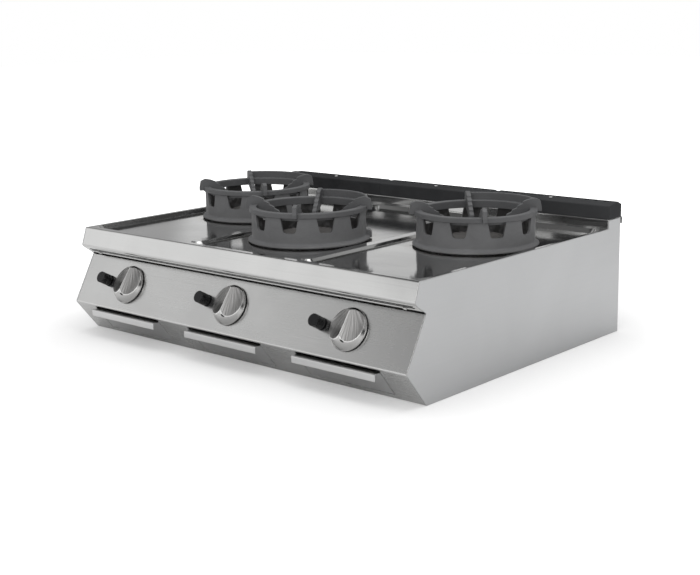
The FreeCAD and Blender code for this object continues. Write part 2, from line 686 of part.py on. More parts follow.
def round_bends(body, bends):
    """Rounds the outer edge of each bend of a folded sheet that runs along X, then the inner one."""
    for y, z, radius in bends:
        dress(body, "Fillet", edges_at(body, ALONG_X, lambda middle: near(middle, y, z)), radius)
    for y, z, radius in bends:
        reach = 2.5 * value("casing_sheet")
        inner = edges_at(body, ALONG_X, lambda middle: sharp_inside(body, middle, y, z, reach))
        dress(body, "Fillet", inner, "%s - casing_sheet" % radius)


def sharp_inside(body, middle, y, z, reach):
    """Whether a point is the sharp inner corner of the bend whose outer corner was at y, z."""
    distance = math.hypot(middle.y - value(y), middle.z - value(z))
    if distance > reach:
        return False
    touching = 0
    for face in body.Shape.Faces:
        if isinstance(face.Surface, Part.Plane) and abs(face.normalAt(0, 0).x) < 0.5:
            if face.distToShape(Part.Vertex(middle))[0] < 1e-4:
                touching += 1
    return touching == 2


def press_well(body):
    """The well: a tapered tub under the deck, hollowed to the sheet's thickness."""
    wall = "casing_sheet / cos(well_wall_angle * 1 deg)"
    for grow, lift, deepen, cut in ((wall, "deck_height - casing_sheet / 2", "casing_sheet / 2", False),
                                    ("0", "deck_height", "0", True)):
        sketch = sketch_on(body, "XY_Plane", lift)
        shrink = "(%s - (deck_height - (%s)) * tan(well_wall_angle * 1 deg))" % (grow, lift)
        side = "(width / 2 - well_side_rim + %s)" % shrink
        front = "(-deck_front + well_front_rim - %s)" % shrink
        back = "(upstand_front - well_back_rim + %s)" % shrink
        rectangle(sketch, "-" + side, front, side, back, "well_corner_radius + %s" % shrink)
        if cut:
            pocket(body, sketch, "well_depth", taper="-well_wall_angle")
        else:
            pad(body, sketch, "well_depth + %s" % deepen, back=True, taper="-well_wall_angle")


def press_ribs(body):
    """The two ribs between the burners, raised from the well's floor and hollow underneath."""
    for hand in (-1, 1):
        middle = "%d * rib_place" % hand
        rib = sketch_on(body, "XY_Plane", "%s - casing_sheet / 2" % FLOOR)
        rib_outline(rib, middle, "0", "rib_back_overlap")
        pad(body, rib, "rib_height + casing_sheet / 2", taper="-well_wall_angle")
    for hand in (-1, 1):
        middle = "%d * rib_place" % hand
        hollow = sketch_on(body, "XY_Plane", DECK_UNDERSIDE)
        rib_outline(hollow, middle, "casing_sheet", "-well_depth - casing_sheet")
        pocket(body, hollow, "rib_height", back=True, taper="-well_wall_angle")


def rib_outline(sketch, middle, inset, overlap):
    """A rib seen from above, with a round front end."""
    half = "(rib_width / 2 - %s)" % inset
    front = "(-deck_front + well_front_rim + rib_front_gap + %s)" % inset
    back = "(upstand_front - well_back_rim + %s)" % overlap
    outline(sketch, [
        ("%s - %s" % (middle, half), front, "0.96 * %s" % half),
        ("%s + %s" % (middle, half), front, "0.96 * %s" % half),
        ("%s + %s" % (middle, half), back),
        ("%s - %s" % (middle, half), back),
    ])


def open_burner_hole(body, burner):
    """The opening over a burner, with a raised collar that keeps spills out."""
    collar = sketch_on(body, "XY_Plane", "%s - casing_sheet / 2" % FLOOR)
    circle(collar, burner["x"], burner["y"], "burner_hole_radius + collar_width")
    pad(body, collar, "collar_height + casing_sheet / 2")
    hole = sketch_on(body, "XY_Plane", "%s - casing_sheet" % FLOOR)
    circle(hole, burner["x"], burner["y"], "burner_hole_radius")
    pocket(body, hole, "collar_height + 2 * casing_sheet", back=True)


def open_flue(body):
    """The duct openings and screw holes under the flue covers."""
    for burner in STATIONS:
        duct = sketch_on(body, "XY_Plane", UPSTAND_TOP)
        middle = "(body_back - casing_sheet - duct_slot_width / 2 - seam_gap)"
        rectangle(duct, "%s - duct_slot_length / 2" % burner["x"], "%s - duct_slot_width / 2" % middle,
                  "%s + duct_slot_length / 2" % burner["x"], "%s + duct_slot_width / 2" % middle,
                  "duct_slot_width / 4")
        pocket(body, duct, "2 * casing_sheet", midplane=True)
        hole = sketch_on(body, "XY_Plane", UPSTAND_TOP)
        circle(hole, burner["x"], GRILLE_SCREW_Y, "screw_shank_radius + screw_hole_clearance")
        pocket(body, hole, "4 * casing_sheet", midplane=True)


def front_panel():
    """The control panel and the lower panel in one folded sheet, with all their openings."""
    body = new_body("front_panel")
    section = sketch_on(body, "YZ_Plane")
    folded_sheet(section, [
        ("%s + panel_flange" % PANEL_TOP_Y, PANEL_TOP_Z),
        (PANEL_TOP_Y, PANEL_TOP_Z),
        (PANEL_FOOT_Y, PANEL_FOOT_Z),
        ("-foot_front", "0"),
        ("panel_flange - foot_front", "0"),
    ], "casing_sheet", 1)
    pad(body, section, "2 * %s" % SEAM_X, midplane=True)
    round_bends(body, [
        (PANEL_TOP_Y, PANEL_TOP_Z, "nose_edge_radius"),
        (PANEL_FOOT_Y, PANEL_FOOT_Z, "panel_bend_radius"),
        ("-foot_front", "0", "nose_edge_radius"),
    ])
    for burner in STATIONS:
        for x, radius in ((burner["x"], "spindle_hole_radius"),
                          (burner["igniter_x"], "igniter_radius + seam_gap")):
            hole = sketch_on(body, "XY_Plane")
            aim_at_panel(hole, "AttachmentOffset", x, "control_place")
            circle(hole, "0", "0", radius)
            pocket(body, hole, "4 * casing_sheet", midplane=True)
        opening = sketch_on(body, "XY_Plane")
        aim(opening, "AttachmentOffset", burner["tray_x"], PANEL_FOOT_Y, PANEL_FOOT_Z,
            "90 + " + LOWER_TILT)
        foot = "(tray_front_foot + tray_gap + casing_sheet * %s / %s)" % (LOWER_RUN, PANEL_FOOT_Z)
        rectangle(opening, "-tray_width / 2 - tray_gap", "-" + foot, "tray_width / 2 + tray_gap",
                  "tray_slot - tray_front_top", "tray_corner_radius")
        pocket(body, opening, "6 * casing_sheet", midplane=True)
    return done(body)


def back_panel():
    body = new_body("back_panel")
    section = sketch_on(body, "YZ_Plane")
    folded_sheet(section, [
        ("body_back - panel_flange", "0"),
        ("body_back", "0"),
        ("body_back", "%s - casing_sheet" % UPSTAND_TOP),
    ], "casing_sheet", 1)
    pad(body, section, "2 * %s" % SEAM_X, midplane=True)
    round_bends(body, [("body_back", "0", "nose_edge_radius")])
    holes = [("inlet_place", MANIFOLD_Z, "inlet_pipe_radius + inlet_hole_clearance")]
    for x, z in BACK_SCREWS:
        holes.append((x, z, "screw_shank_radius + screw_hole_clearance"))
    for x, z, radius in holes:
        hole = sketch_on(body, "XZ_Plane", "-body_back")
        circle(hole, x, z, radius)
        pocket(body, hole, "4 * casing_sheet", midplane=True)
    slot = sketch_on(body, "XZ_Plane", "-body_back")
    start = "(-vent_pitch * (vent_count - 1) / 2)"
    rectangle(slot, "%s - vent_width / 2" % start, "vent_height - vent_length / 2",
              "%s + vent_width / 2" % start, "vent_height + vent_length / 2", "0.45 * vent_width")
    vent = pocket(body, slot, "4 * casing_sheet", midplane=True)
    linear(body, vent, "X_Axis", "vent_count", "vent_pitch")
    return done(body)


def base_panel():
    body = new_body("base_panel")
    plate = sketch_on(body, "XY_Plane", "casing_sheet")
    rectangle(plate, "-" + SEAM_X, "nose_edge_radius - foot_front", SEAM_X,
              "body_back - casing_sheet - nose_edge_radius")
    pad(body, plate, "casing_sheet")
    slot = sketch_on(body, "XY_Plane", "2 * casing_sheet")
    start = "(-vent_pitch * (vent_count - 1) / 2)"
    rectangle(slot, "%s - vent_width / 2" % start, "-vent_length", "%s + vent_width / 2" % start, "0",
              "0.45 * vent_width")
    vent = pocket(body, slot, "4 * casing_sheet", midplane=True)
    linear(body, vent, "X_Axis", "vent_count", "vent_pitch")
    return done(body)


def heat_shield():
    """The plate between the gas controls and the burners, hung from the deck."""
    body = new_body("heat_shield")
    section = sketch_on(body, "YZ_Plane")
    folded_sheet(section, [
        ("-shield_place - shield_flange", DECK_UNDERSIDE),
        ("-shield_place", DECK_UNDERSIDE),
        ("-shield_place", "shield_base"),
    ], "casing_sheet", -1)
    pad(body, section, "2 * (%s - side_flange - shield_flange)" % HALF_INSIDE, midplane=True)
    holes = [("inlet_place", MANIFOLD_Z, "inlet_pipe_radius + shield_hole_clearance")]
    for burner in STATIONS:
        holes.append((burner["x"], MIXER_Z, "tube_radius + shield_hole_clearance"))
    for x, z, radius in holes:
        hole = sketch_on(body, "XZ_Plane", "shield_place")
        circle(hole, x, z, radius)
        pocket(body, hole, "4 * casing_sheet", midplane=True)
    return done(body)


def nose_bracket(label, hand):
    """The angle inside the nose that ties the worktop to a side panel."""
    body = new_body(label)
    section = sketch_on(body, "XY_Plane")
    aim(section, "AttachmentOffset", "0", NOSE_LIP_Y, NOSE_LIP_Z, RETURN_TILT)
    outer = "%d * %s" % (hand, HALF_INSIDE)
    inner = "%d * (width / 2 - nose_screw_inset - screw_head_radius * 2)" % hand
    first, last = (inner, outer) if hand > 0 else (outer, inner)
    rectangle(section, first, "-nose_return_length", last, "-nose_lip_radius * 2")
    plate = pad(body, section, "2 * casing_sheet", back=True)
    wall = sketch_on(body, "XY_Plane")
    aim(wall, "AttachmentOffset", "0", NOSE_LIP_Y, NOSE_LIP_Z, RETURN_TILT)
    edge = "%d * (%s - casing_sheet)" % (hand, HALF_INSIDE)
    first, last = (edge, outer) if hand > 0 else (outer, edge)
    rectangle(wall, first, "-nose_return_length", last, "-nose_lip_radius * 2")
    pad(body, wall, "nose_return_length / 2", back=True)
    clear = sketch_on(body, "XY_Plane")
    aim(clear, "AttachmentOffset", "0", NOSE_LIP_Y, NOSE_LIP_Z, RETURN_TILT)
    rectangle(clear, "-width", "-2 * nose_return_length", "width", "nose_return_length")
    pocket(body, clear, "casing_sheet")
    hole = sketch_on(body, "XY_Plane")
    aim(hole, "AttachmentOffset", "%d * (width / 2 - nose_screw_inset)" % hand,
        NOSE_LIP_Y, NOSE_LIP_Z, RETURN_TILT)
    circle(hole, "0", "-nose_screw_place", "screw_shank_radius")
    pocket(body, hole, "6 * casing_sheet", midplane=True)
    return done(body)


def flue_grille(burner):
    """One hollow casting of the flue cover, with vent slots and a screw boss."""
    body = new_body("flue_grille_" + burner["name"])
    half = "(%s / 2 - grille_seam / 2)" % GRILLE_PITCH
    box = sketch_on(body, "YZ_Plane")
    outline(box, [
        ("0", "0"),
        ("grille_depth", "0"),
        ("grille_depth", "grille_height", "grille_edge_radius"),
        ("grille_slope_run", "grille_height"),
        ("0", "grille_height - grille_slope_drop", "grille_edge_radius"),
    ])
    pad(body, box, "2 * %s" % half, midplane=True)
    inside = sketch_on(body, "XY_Plane")
    rectangle(inside, "grille_wall - %s" % half, "grille_wall", "%s - grille_wall" % half,
              "grille_depth - grille_wall")
    pocket(body, inside, "grille_height - grille_wall", back=True)
    boss = sketch_on(body, "XY_Plane")
    circle(boss, "0", "grille_screw_inset", "grille_boss_radius")
    pad(body, boss, "grille_height - grille_wall / 2")
    hole = sketch_on(body, "XY_Plane", "grille_height")
    circle(hole, "0", "grille_screw_inset", "screw_shank_radius + screw_hole_clearance")
    pocket(body, hole, "grille_height")
    sink = sketch_on(body, "XY_Plane", "grille_height")
    circle(sink, "0", "grille_screw_inset", "screw_head_radius + screw_hole_clearance")
    pocket(body, sink, "screw_head_height - casing_sheet / 2")
    for hand in (-1, 1):
        notch = sketch_on(body, "XZ_Plane", "notch_reach - grille_depth")
        corners = [
            ("%d * %s" % (hand, half), "grille_height - notch_depth"),
            ("%d * %s" % (hand, half), "grille_height + notch_depth"),
            ("%d * (%s - 2 * notch_width)" % (hand, half), "grille_height + notch_depth"),
        ]
        outline(notch, corners if hand > 0 else corners[::-1])
        pocket(body, notch, "2 * notch_reach")
    slot = sketch_on(body, "XY_Plane", "grille_height")
    start = "(-slot_pitch * (slot_count - 1) / 2)"
    middle = "(grille_depth - slot_back_inset)"
    rectangle(slot, "%s - slot_width / 2" % start, "%s - slot_length / 2" % middle,
              "%s + slot_width / 2" % start, "%s + slot_length / 2" % middle, "0.45 * slot_width")
    vent = pocket(body, slot, "2 * grille_wall")
    linear(body, vent, "X_Axis", "slot_count", "slot_pitch")
    place(body, burner["grille_x"], GRILLE_FRONT, UPSTAND_TOP)
    return done(body)


# ---------------------------------------------------------------- rings and pan supports

def chamber_ring(burner):
    """The cast ring that stands in the well round a burner."""
    body = new_body("chamber_ring_" + burner["name"])
    section = sketch_on(body, "XZ_Plane")
    inner = "(chamber_radius - chamber_wall)"
    outline(section, [
        (inner, "0"),
        ("chamber_radius", "0"),
        ("chamber_radius", "flange_lift"),
        ("flange_radius", "flange_lift"),
        ("flange_radius", "flange_lift + flange_thickness", "flange_thickness / 3"),
        ("chamber_radius", "flare_height", "(flare_height - flange_lift) / 2"),
        ("chamber_radius", "chamber_height"),
        (inner, "chamber_height"),
    ])
    revolve(body, section)
    window = sketch_on(body, "XZ_Plane", inner + " - chamber_wall")
    outline(window, [
        ("-window_sill_width / 2", "window_sill_height", "window_corner_radius"),
        ("window_sill_width / 2", "window_sill_height", "window_corner_radius"),
        ("window_head_width / 2", "chamber_height"),
        ("window_head_width / 2", "chamber_height + chamber_wall"),
        ("-window_head_width / 2", "chamber_height + chamber_wall"),
        ("-window_head_width / 2", "chamber_height"),
    ])
    cut = pocket(body, window, "4 * chamber_wall", back=True)
    polar(body, cut, "window_count")
    root = "(chamber_wall / 2 - chamber_radius)"
    lug = sketch_on(body, "YZ_Plane")
    outline(lug, [
        ("-ring_lug_reach", "flange_lift"),
        (root, "flange_lift"),
        (root, "ring_lug_height"),
        ("-ring_lug_reach", "ring_lug_height", "ring_lug_height / 3"),
    ])
    pad(body, lug, "ring_lug_width", midplane=True)
    place(body, burner["x"], burner["y"], "%s + rest_gap" % FLOOR, burner["ring_turn"])
    return done(body)


def pan_support(burner):
    """The loose pan support: band with spigot, wind guard and four toothed prongs."""
    body = new_body("pan_support_" + burner["name"])
    band = sketch_on(body, "XZ_Plane")
    spigot = "(chamber_radius - chamber_wall - spigot_clearance)"
    outline(band, [
        ("band_inner_radius", "-spigot_depth"),
        (spigot, "-spigot_depth"),
        (spigot, "0"),
        ("band_radius", "0"),
        ("band_radius", "band_height", "band_height / 5"),
        ("band_inner_radius", "band_height", "band_height / 5"),
    ])
    revolve(body, band)
    guard = sketch_on(body, "XZ_Plane")
    outline(guard, [
        ("band_radius - guard_thickness", "band_height / 2"),
        ("band_radius", "band_height / 2"),
        ("band_radius", "guard_height", "guard_thickness / 3"),
        ("band_radius - guard_thickness", "guard_height", "guard_thickness / 3"),
    ])
    revolve(body, guard, "90")
    prong = sketch_on(body, "XZ_Plane")
    outline(prong, prong_corners())
    fin = pad(body, prong, "prong_thickness", midplane=True)
    polar(body, fin, "4")
    seat = "%s + rest_gap + chamber_height + rest_gap" % FLOOR
    place(body, burner["x"], burner["y"], seat, burner["turn"])
    return done(body)


def prong_corners():
    """A prong's side view: radius from the burner's axis and height over the chamber ring."""
    corners = [
        ("band_radius - guard_thickness", "prong_heel_height"),
        ("prong_reach", "prong_heel_height"),
        ("prong_reach", "prong_heel_height + (prong_tip_height - prong_heel_height) / 3"),
        ("prong_reach - prong_thickness / 3", "prong_tip_height", "prong_thickness / 4"),
        ("prong_crown_radius", "prong_crown_height", "prong_thickness / 2"),
        ("slope_start_radius", "slope_start_height"),
    ]
    teeth = int(value("tooth_count"))
    run = "(slope_start_radius - slope_end_radius)"
    drop = "(slope_start_height - slope_end_height)"
    lean = "hypot(%s; %s)" % (run, drop)
    for tooth in range(teeth):
        low = "(%d / tooth_count)" % (tooth + 1)
        crest = "(%d.75 / tooth_count)" % tooth
        corners.append((
            "slope_start_radius - %s * %s - tooth_depth * %s / %s" % (run, crest, drop, lean),
            "slope_start_height - %s * %s + tooth_depth * %s / %s" % (drop, crest, run, lean)))
        corners.append((
            "slope_start_radius - %s * %s" % (run, low),
            "slope_start_height - %s * %s" % (drop, low)))
    corners.append(("slope_end_radius + prong_nose_depth / 2", "slope_end_height - prong_nose_depth"))
    corners.append(("band_inner_radius + guard_thickness / 2", "-spigot_depth"))
    corners.append(("band_inner_radius + guard_thickness / 2", "prong_heel_height"))
    return corners


# ---------------------------------------------------------------- burners

def burner_body(burner):
    """The burner's bowl with its mixing tube and the electrode's lug."""
    body = new_body("burner_body_" + burner["name"])
    bowl = sketch_on(body, "XZ_Plane")
    outline(bowl, [
        ("0", "0"),
        ("bowl_foot_radius", "0"),
        ("bowl_radius", "0.7 * bowl_depth", "bowl_depth / 4"),
        ("bowl_radius", "bowl_depth"),
        ("0", "bowl_depth"),
    ])
    revolve(body, bowl)
    tube = sketch_on(body, "XZ_Plane")
    circle(tube, "0", "mixer_radius", "mixer_radius")
    pad(body, tube, burner["mixer_reach"])
    lug = sketch_on(body, "XY_Plane", "bowl_depth")
    rectangle(lug, "bowl_radius - bowl_wall", "-lug_width / 2", "lug_reach", "lug_width / 2")
    pad(body, lug, "lug_thickness", back=True)
    inside = sketch_on(body, "XZ_Plane")
    outline(inside, [
        ("0", "bowl_wall"),
        ("bowl_foot_radius - bowl_wall / 2", "bowl_wall"),
        ("bowl_radius - bowl_wall", "0.7 * bowl_depth", "bowl_depth / 4"),
        ("bowl_radius - bowl_wall", "bowl_depth + bowl_wall"),
        ("0", "bowl_depth + bowl_wall"),
    ])
    groove = body.newObject("PartDesign::Groove", body.Name + "_groove")
    groove.Profile = inside
    groove.ReferenceAxis = (inside, ["V_Axis"])
    groove.Angle = 360
    bore = sketch_on(body, "XZ_Plane")
    circle(bore, "0", "mixer_radius", "mixer_radius - mixer_wall")
    pocket(body, bore, burner["mixer_reach"], back=True)
    hole = sketch_on(body, "XY_Plane", "bowl_depth")
    circle(hole, ELECTRODE_PLACE, "0", "electrode_radius + electrode_clearance")
    pocket(body, hole, "lug_thickness")
    place(body, burner["x"], burner["y"], BOWL_FOOT)
    return done(body)


ELECTRODE_PLACE = "(lug_reach - lug_width / 2)"


def burner_crown(burner):
    """The burner's cap, with flame ports cut round its rim and a spigot in the bowl."""
    body = new_body("burner_crown_" + burner["name"])
    section = sketch_on(body, "XZ_Plane")
    inner = "(crown_radius - crown_wall)"
    spigot = "(bowl_radius - bowl_wall - crown_clearance)"
    outline(section, [
        (inner, "-crown_spigot"),
        (spigot, "-crown_spigot"),
        (spigot, "0"),
        ("crown_radius", "0"),
        ("crown_radius", "crown_height", "crown_wall / 4"),
        ("0", "crown_height"),
        ("0", "crown_height - crown_wall / 2"),
        (inner, "crown_height - crown_wall / 2"),
    ])
    revolve(body, section)
    port = sketch_on(body, "XY_Plane", "crown_height")
    rectangle(port, "%s - crown_wall / 4" % inner, "-port_width / 2", "crown_radius + crown_wall",
              "port_width / 2")
    cut = pocket(body, port, "port_depth")
    polar(body, cut, "port_count")
    place(body, burner["x"], burner["y"], BOWL_TOP)
    return done(body)


def burner_carrier(burner):
    """The strap that hangs a burner under the deck."""
    body = new_body("burner_carrier_" + burner["name"])
    section = sketch_on(body, "XZ_Plane")
    drop = "(bowl_top_drop + bowl_depth + carrier_sheet)"
    folded_sheet(section, [
        ("-carrier_reach - carrier_flange", "-carrier_sheet"),
        ("-carrier_reach", "-carrier_sheet"),
        ("-carrier_reach", "-" + drop),
        ("carrier_reach", "-" + drop),
        ("carrier_reach", "-carrier_sheet"),
        ("carrier_reach + carrier_flange", "-carrier_sheet"),
    ], "carrier_sheet", 1)
    pad(body, section, "carrier_width", midplane=True)
    place(body, burner["x"], burner["y"], DECK_UNDERSIDE)
    return done(body)


def spark_electrode(burner):
    """The ceramic spark electrode in its lug, with its bare wire on top."""
    body = new_body("spark_electrode_" + burner["name"])
    section = sketch_on(body, "XZ_Plane")
    neck = "(0.7 * electrode_length)"
    outline(section, [
        ("0", "0"),
        ("electrode_radius", "0"),
        ("electrode_radius", "electrode_length"),
        ("electrode_wire_radius", "electrode_length + electrode_wire_radius"),
        ("electrode_wire_radius", "electrode_length + electrode_tip"),
        ("0", "electrode_length + electrode_tip"),
    ])
    revolve(body, section)
    place(body, "%s + %s" % (burner["x"], ELECTRODE_PLACE), burner["y"], "%s - %s" % (BOWL_TOP, neck))
    return done(body)


# ---------------------------------------------------------------- controls

def gas_valve(burner):
    """The gas tap behind the panel; its rear stub sits in the manifold, its outlet points up."""
    body = new_body("gas_valve_" + burner["name"])
    section = sketch_on(body, "XZ_Plane")
    inlet_end = "(-casing_sheet - valve_length - manifold_wall)"
    bore = "(spindle_radius + spindle_clearance)"
    outline(section, [
        ("0", inlet_end),
        ("valve_inlet_radius", inlet_end),
        ("valve_inlet_radius", "-casing_sheet - valve_length"),
        ("0.8 * valve_radius", "-casing_sheet - valve_length"),
        ("valve_radius", "-casing_sheet - 0.85 * valve_length"),
        ("valve_radius", "-casing_sheet"),
        (bore, "-casing_sheet"),
        (bore, "-spindle_depth - seam_gap"),
        ("0", "-spindle_depth - seam_gap"),
    ])
    revolve(body, section)
    boss = sketch_on(body, "XZ_Plane", "-0.6 * valve_radius")
    circle(boss, "0", "-casing_sheet - valve_outlet_place", "valve_outlet_radius")
    pad(body, boss, "valve_outlet_reach - 0.6 * valve_radius", back=True)
    seat = sketch_on(body, "XZ_Plane", "-valve_outlet_reach")
    circle(seat, "0", "-casing_sheet - valve_outlet_place", "tube_radius")
    pocket(body, seat, TUBE_SEAT, back=True)
    aim_at_panel(body, "Placement", burner["x"], "control_place")
    return done(body)


TUBE_SEAT = "1.5 * tube_radius"


def valve_spindle(burner):
    body = new_body("valve_spindle_" + burner["name"])
    disc = sketch_on(body, "XY_Plane", "-spindle_depth")
    circle(disc, "0", "0", "spindle_radius")
    pad(body, disc, "spindle_depth + spindle_reach")
    dress(body, "Chamfer", round_edges(body, "spindle_reach"), "spindle_radius / 8")
    aim_at_panel(body, "Placement", burner["x"], "control_place")
    return done(body)


def round_edges(body, height):
    """The circular edges at a height of a body that stands on its own XY plane."""
    doc.recompute()
    found = []
    for number, edge in enumerate(body.Tip.Shape.Edges):
        if isinstance(edge.Curve, Part.Circle) and abs(edge.Curve.Center.z - value(height)) < 1e-4:
            found.append("Edge%d" % (number + 1))
    return found


def knob(burner):
    """The turned metal knob with a scoop at each side of its grip's ridge and a plain heel."""
    body = new_body("knob_" + burner["name"])
    section = sketch_on(body, "XZ_Plane")
    bore = "(spindle_radius + spindle_clearance)"
    roof = "(spindle_reach + knob_travel + seam_gap)"
    outline(section, [
        ("knob_cavity_radius", "knob_lift"),
        ("knob_radius", "knob_lift"),
        ("knob_radius", "knob_lift + knob_skirt"),
        ("knob_top_radius", "knob_height", "knob_crown_radius"),
        ("0", "knob_height"),
        ("0", roof),
        (bore, roof),
        (bore, "knob_lift"),
        ("knob_hub_radius", "knob_lift"),
        ("knob_hub_radius", "knob_cavity_height"),
        ("knob_cavity_radius", "knob_cavity_height"),
    ])
    revolve(body, section)
    lift = "(scoop_depth + scoop_radius)"
    away = "sqrt(scoop_radius ^ 2 - (%s - ridge_height) ^ 2)" % lift
    for hand in (-1, 1):
        scoop = sketch_on(body, "XZ_Plane")
        aim(scoop, "AttachmentOffset", "0", "0", "0", "-scoop_tilt")
        circle(scoop, "%d * %s" % (hand, away), lift, "scoop_radius")
        pocket(body, scoop, "4 * knob_radius", midplane=True)
    aim_at_panel(body, "Placement", burner["x"], "control_place")
    return done(body)


def igniter_body(burner):
    """The piezo igniter's body behind the panel, with its neck through it."""
    body = new_body("igniter_body_" + burner["name"])
    section = sketch_on(body, "XZ_Plane")
    bore = "(button_stem_radius + button_stem_clearance)"
    well = "(-button_stem_depth - button_travel - seam_gap)"
    outline(section, [
        ("0", "-casing_sheet - igniter_depth"),
        ("igniter_body_radius / 2", "-casing_sheet - igniter_depth"),
        ("igniter_body_radius", "-casing_sheet - 0.8 * igniter_depth"),
        ("igniter_body_radius", "-casing_sheet"),
        ("igniter_radius", "-casing_sheet"),
        ("igniter_radius", "igniter_neck_reach"),
        (bore, "igniter_neck_reach"),
        (bore, well),
        ("0", well),
    ])
    revolve(body, section)
    aim_at_panel(body, "Placement", burner["igniter_x"], "control_place")
    return done(body)


def igniter_nut(burner):
    body = new_body("igniter_nut_" + burner["name"])
    section = sketch_on(body, "XZ_Plane")
    outline(section, [
        ("igniter_radius", "0"),
        ("igniter_nut_radius", "0"),
        ("igniter_nut_radius", "igniter_nut_height", "igniter_nut_height / 4"),
        ("igniter_radius", "igniter_nut_height"),
    ])
    revolve(body, section)
    aim_at_panel(body, "Placement", burner["igniter_x"], "control_place")
    return body


def igniter_button(burner):
    """The igniter's ribbed push button."""
    body = new_body("igniter_button_" + burner["name"])
    section = sketch_on(body, "XZ_Plane")
    roof = "(button_height - groove_pitch)"
    corners = [
        ("0", "-button_stem_depth"),
        ("button_stem_radius", "-button_stem_depth"),
        ("button_stem_radius", roof),
        ("button_bore_radius", roof),
        ("button_bore_radius", "button_start"),
        ("button_radius", "button_start"),
    ]
    for groove in range(int(value("groove_count"))):
        low = "(button_start + groove_pitch * %d.7)" % groove
        corners.append(("button_radius", low))
        corners.append(("button_radius - groove_depth", low))
        corners.append(("button_radius - groove_depth", "%s + groove_width" % low))
        corners.append(("button_radius", "%s + groove_width" % low))
    corners.append(("button_radius", "button_height", "groove_depth"))
    corners.append(("0", "button_height"))
    outline(section, corners)
    revolve(body, section)
    aim_at_panel(body, "Placement", burner["igniter_x"], "control_place")
    return done(body)


# ---------------------------------------------------------------- gas supply

def gas_manifold():
    body = new_body("gas_manifold")
    first = "(-burner_pitch - manifold_overhang)"
    last = "(inlet_place - elbow_size / 2)"
    tube = sketch_on(body, "YZ_Plane", first)
    circle(tube, MANIFOLD_Y, MANIFOLD_Z, "manifold_radius")
    pad(body, tube, "%s - %s" % (last, first))
    bore = sketch_on(body, "YZ_Plane", last)
    circle(bore, MANIFOLD_Y, MANIFOLD_Z, "manifold_radius - manifold_wall")
    pocket(body, bore, "%s - %s - manifold_wall" % (last, first))
    for burner in STATIONS:
        hole = sketch_on(body, "XY_Plane")
        aim_at_panel(hole, "AttachmentOffset", burner["x"], "control_place", "-" + MANIFOLD_T)
        circle(hole, "0", "0", "valve_inlet_radius")
        pocket(body, hole, "manifold_radius", back=True)
    return done(body)


def supply_tube(burner):
    """The bent tube from a valve's outlet, with the injector on its end."""
    body = new_body("supply_tube_" + burner["name"])
    reach = "(valve_outlet_reach - %s)" % TUBE_SEAT
    back = "(casing_sheet + valve_outlet_place)"
    start_y = "(%s - (control_place - %s) * sin(panel_tilt * 1 deg) + %s * cos(panel_tilt * 1 deg))" % (
        PANEL_TOP_Y, reach, back)
    start_z = "(%s - (control_place - %s) * cos(panel_tilt * 1 deg) - %s * sin(panel_tilt * 1 deg))" % (
        PANEL_TOP_Z, reach, back)
    bend_y = "(%s + (%s - %s) * tan(panel_tilt * 1 deg))" % (start_y, MIXER_Z, start_z)
    end_y = "(%s - injector_length + %s)" % (injector_end(burner), TUBE_SEAT)
    spine = sketch_on(body, "YZ_Plane")
    bent_path(spine, [(start_y, start_z), (bend_y, MIXER_Z), (end_y, MIXER_Z)], "tube_bend_radius")
    ring = sketch_on(body, "XY_Plane")
    aim(ring, "AttachmentOffset", "0", start_y, start_z, "-panel_tilt")
    circle(ring, "0", "0", "tube_radius")
    circle(ring, "0", "0", "tube_radius - tube_wall")
    pipe = body.newObject("PartDesign::AdditivePipe", body.Name + "_pipe")
    pipe.Profile = ring
    pipe.Spine = spine
    nozzle = sketch_on(body, "YZ_Plane")
    bind(nozzle, "AttachmentOffset.Base.x", "%s - injector_length" % injector_end(burner))
    bind(nozzle, "AttachmentOffset.Base.y", MIXER_Z)
    outline(nozzle, [
        ("0", "tube_radius - tube_wall / 2"),
        (TUBE_SEAT, "tube_radius - tube_wall / 2"),
        (TUBE_SEAT, "injector_orifice_radius"),
        ("injector_length", "injector_orifice_radius"),
        ("injector_length", "injector_radius / 2"),
        ("0.7 * injector_length", "injector_radius"),
        ("0", "injector_radius"),
    ])
    turned = body.newObject("PartDesign::Revolution", body.Name + "_injector")
    turned.Profile = nozzle
    turned.ReferenceAxis = (nozzle, ["H_Axis"])
    turned.Angle = 360
    place(body, burner["x"])
    return done(body)


def injector_end(burner):
    """The injector's front face, in front of the mixing tube's mouth."""
    return "(%s - %s - injector_gap)" % (burner["y"], burner["mixer_reach"])


def bent_path(sketch, corners, radius):
    """Two lines through three corners with a bend between them."""
    points = [Vector(value(y), value(z), 0) for y, z in corners]
    trim = trim_at(points, [None, radius, None], 1)
    lines = []
    for index, (start, end) in enumerate(((0, 1), (1, 2))):
        way = (points[end] - points[start]).normalize()
        begin = points[start] + way * (trim if index else 0)
        stop = points[end] - way * (0 if index else trim)
        lines.append(sketch.addGeometry(Part.LineSegment(begin, stop), False))
    round_corner(sketch, lines[0], lines[1], points, 1, trim, corners[1] + (radius,))
    fix(sketch, lines[0], 1, *corners[0])
    fix(sketch, lines[1], 2, *corners[2])


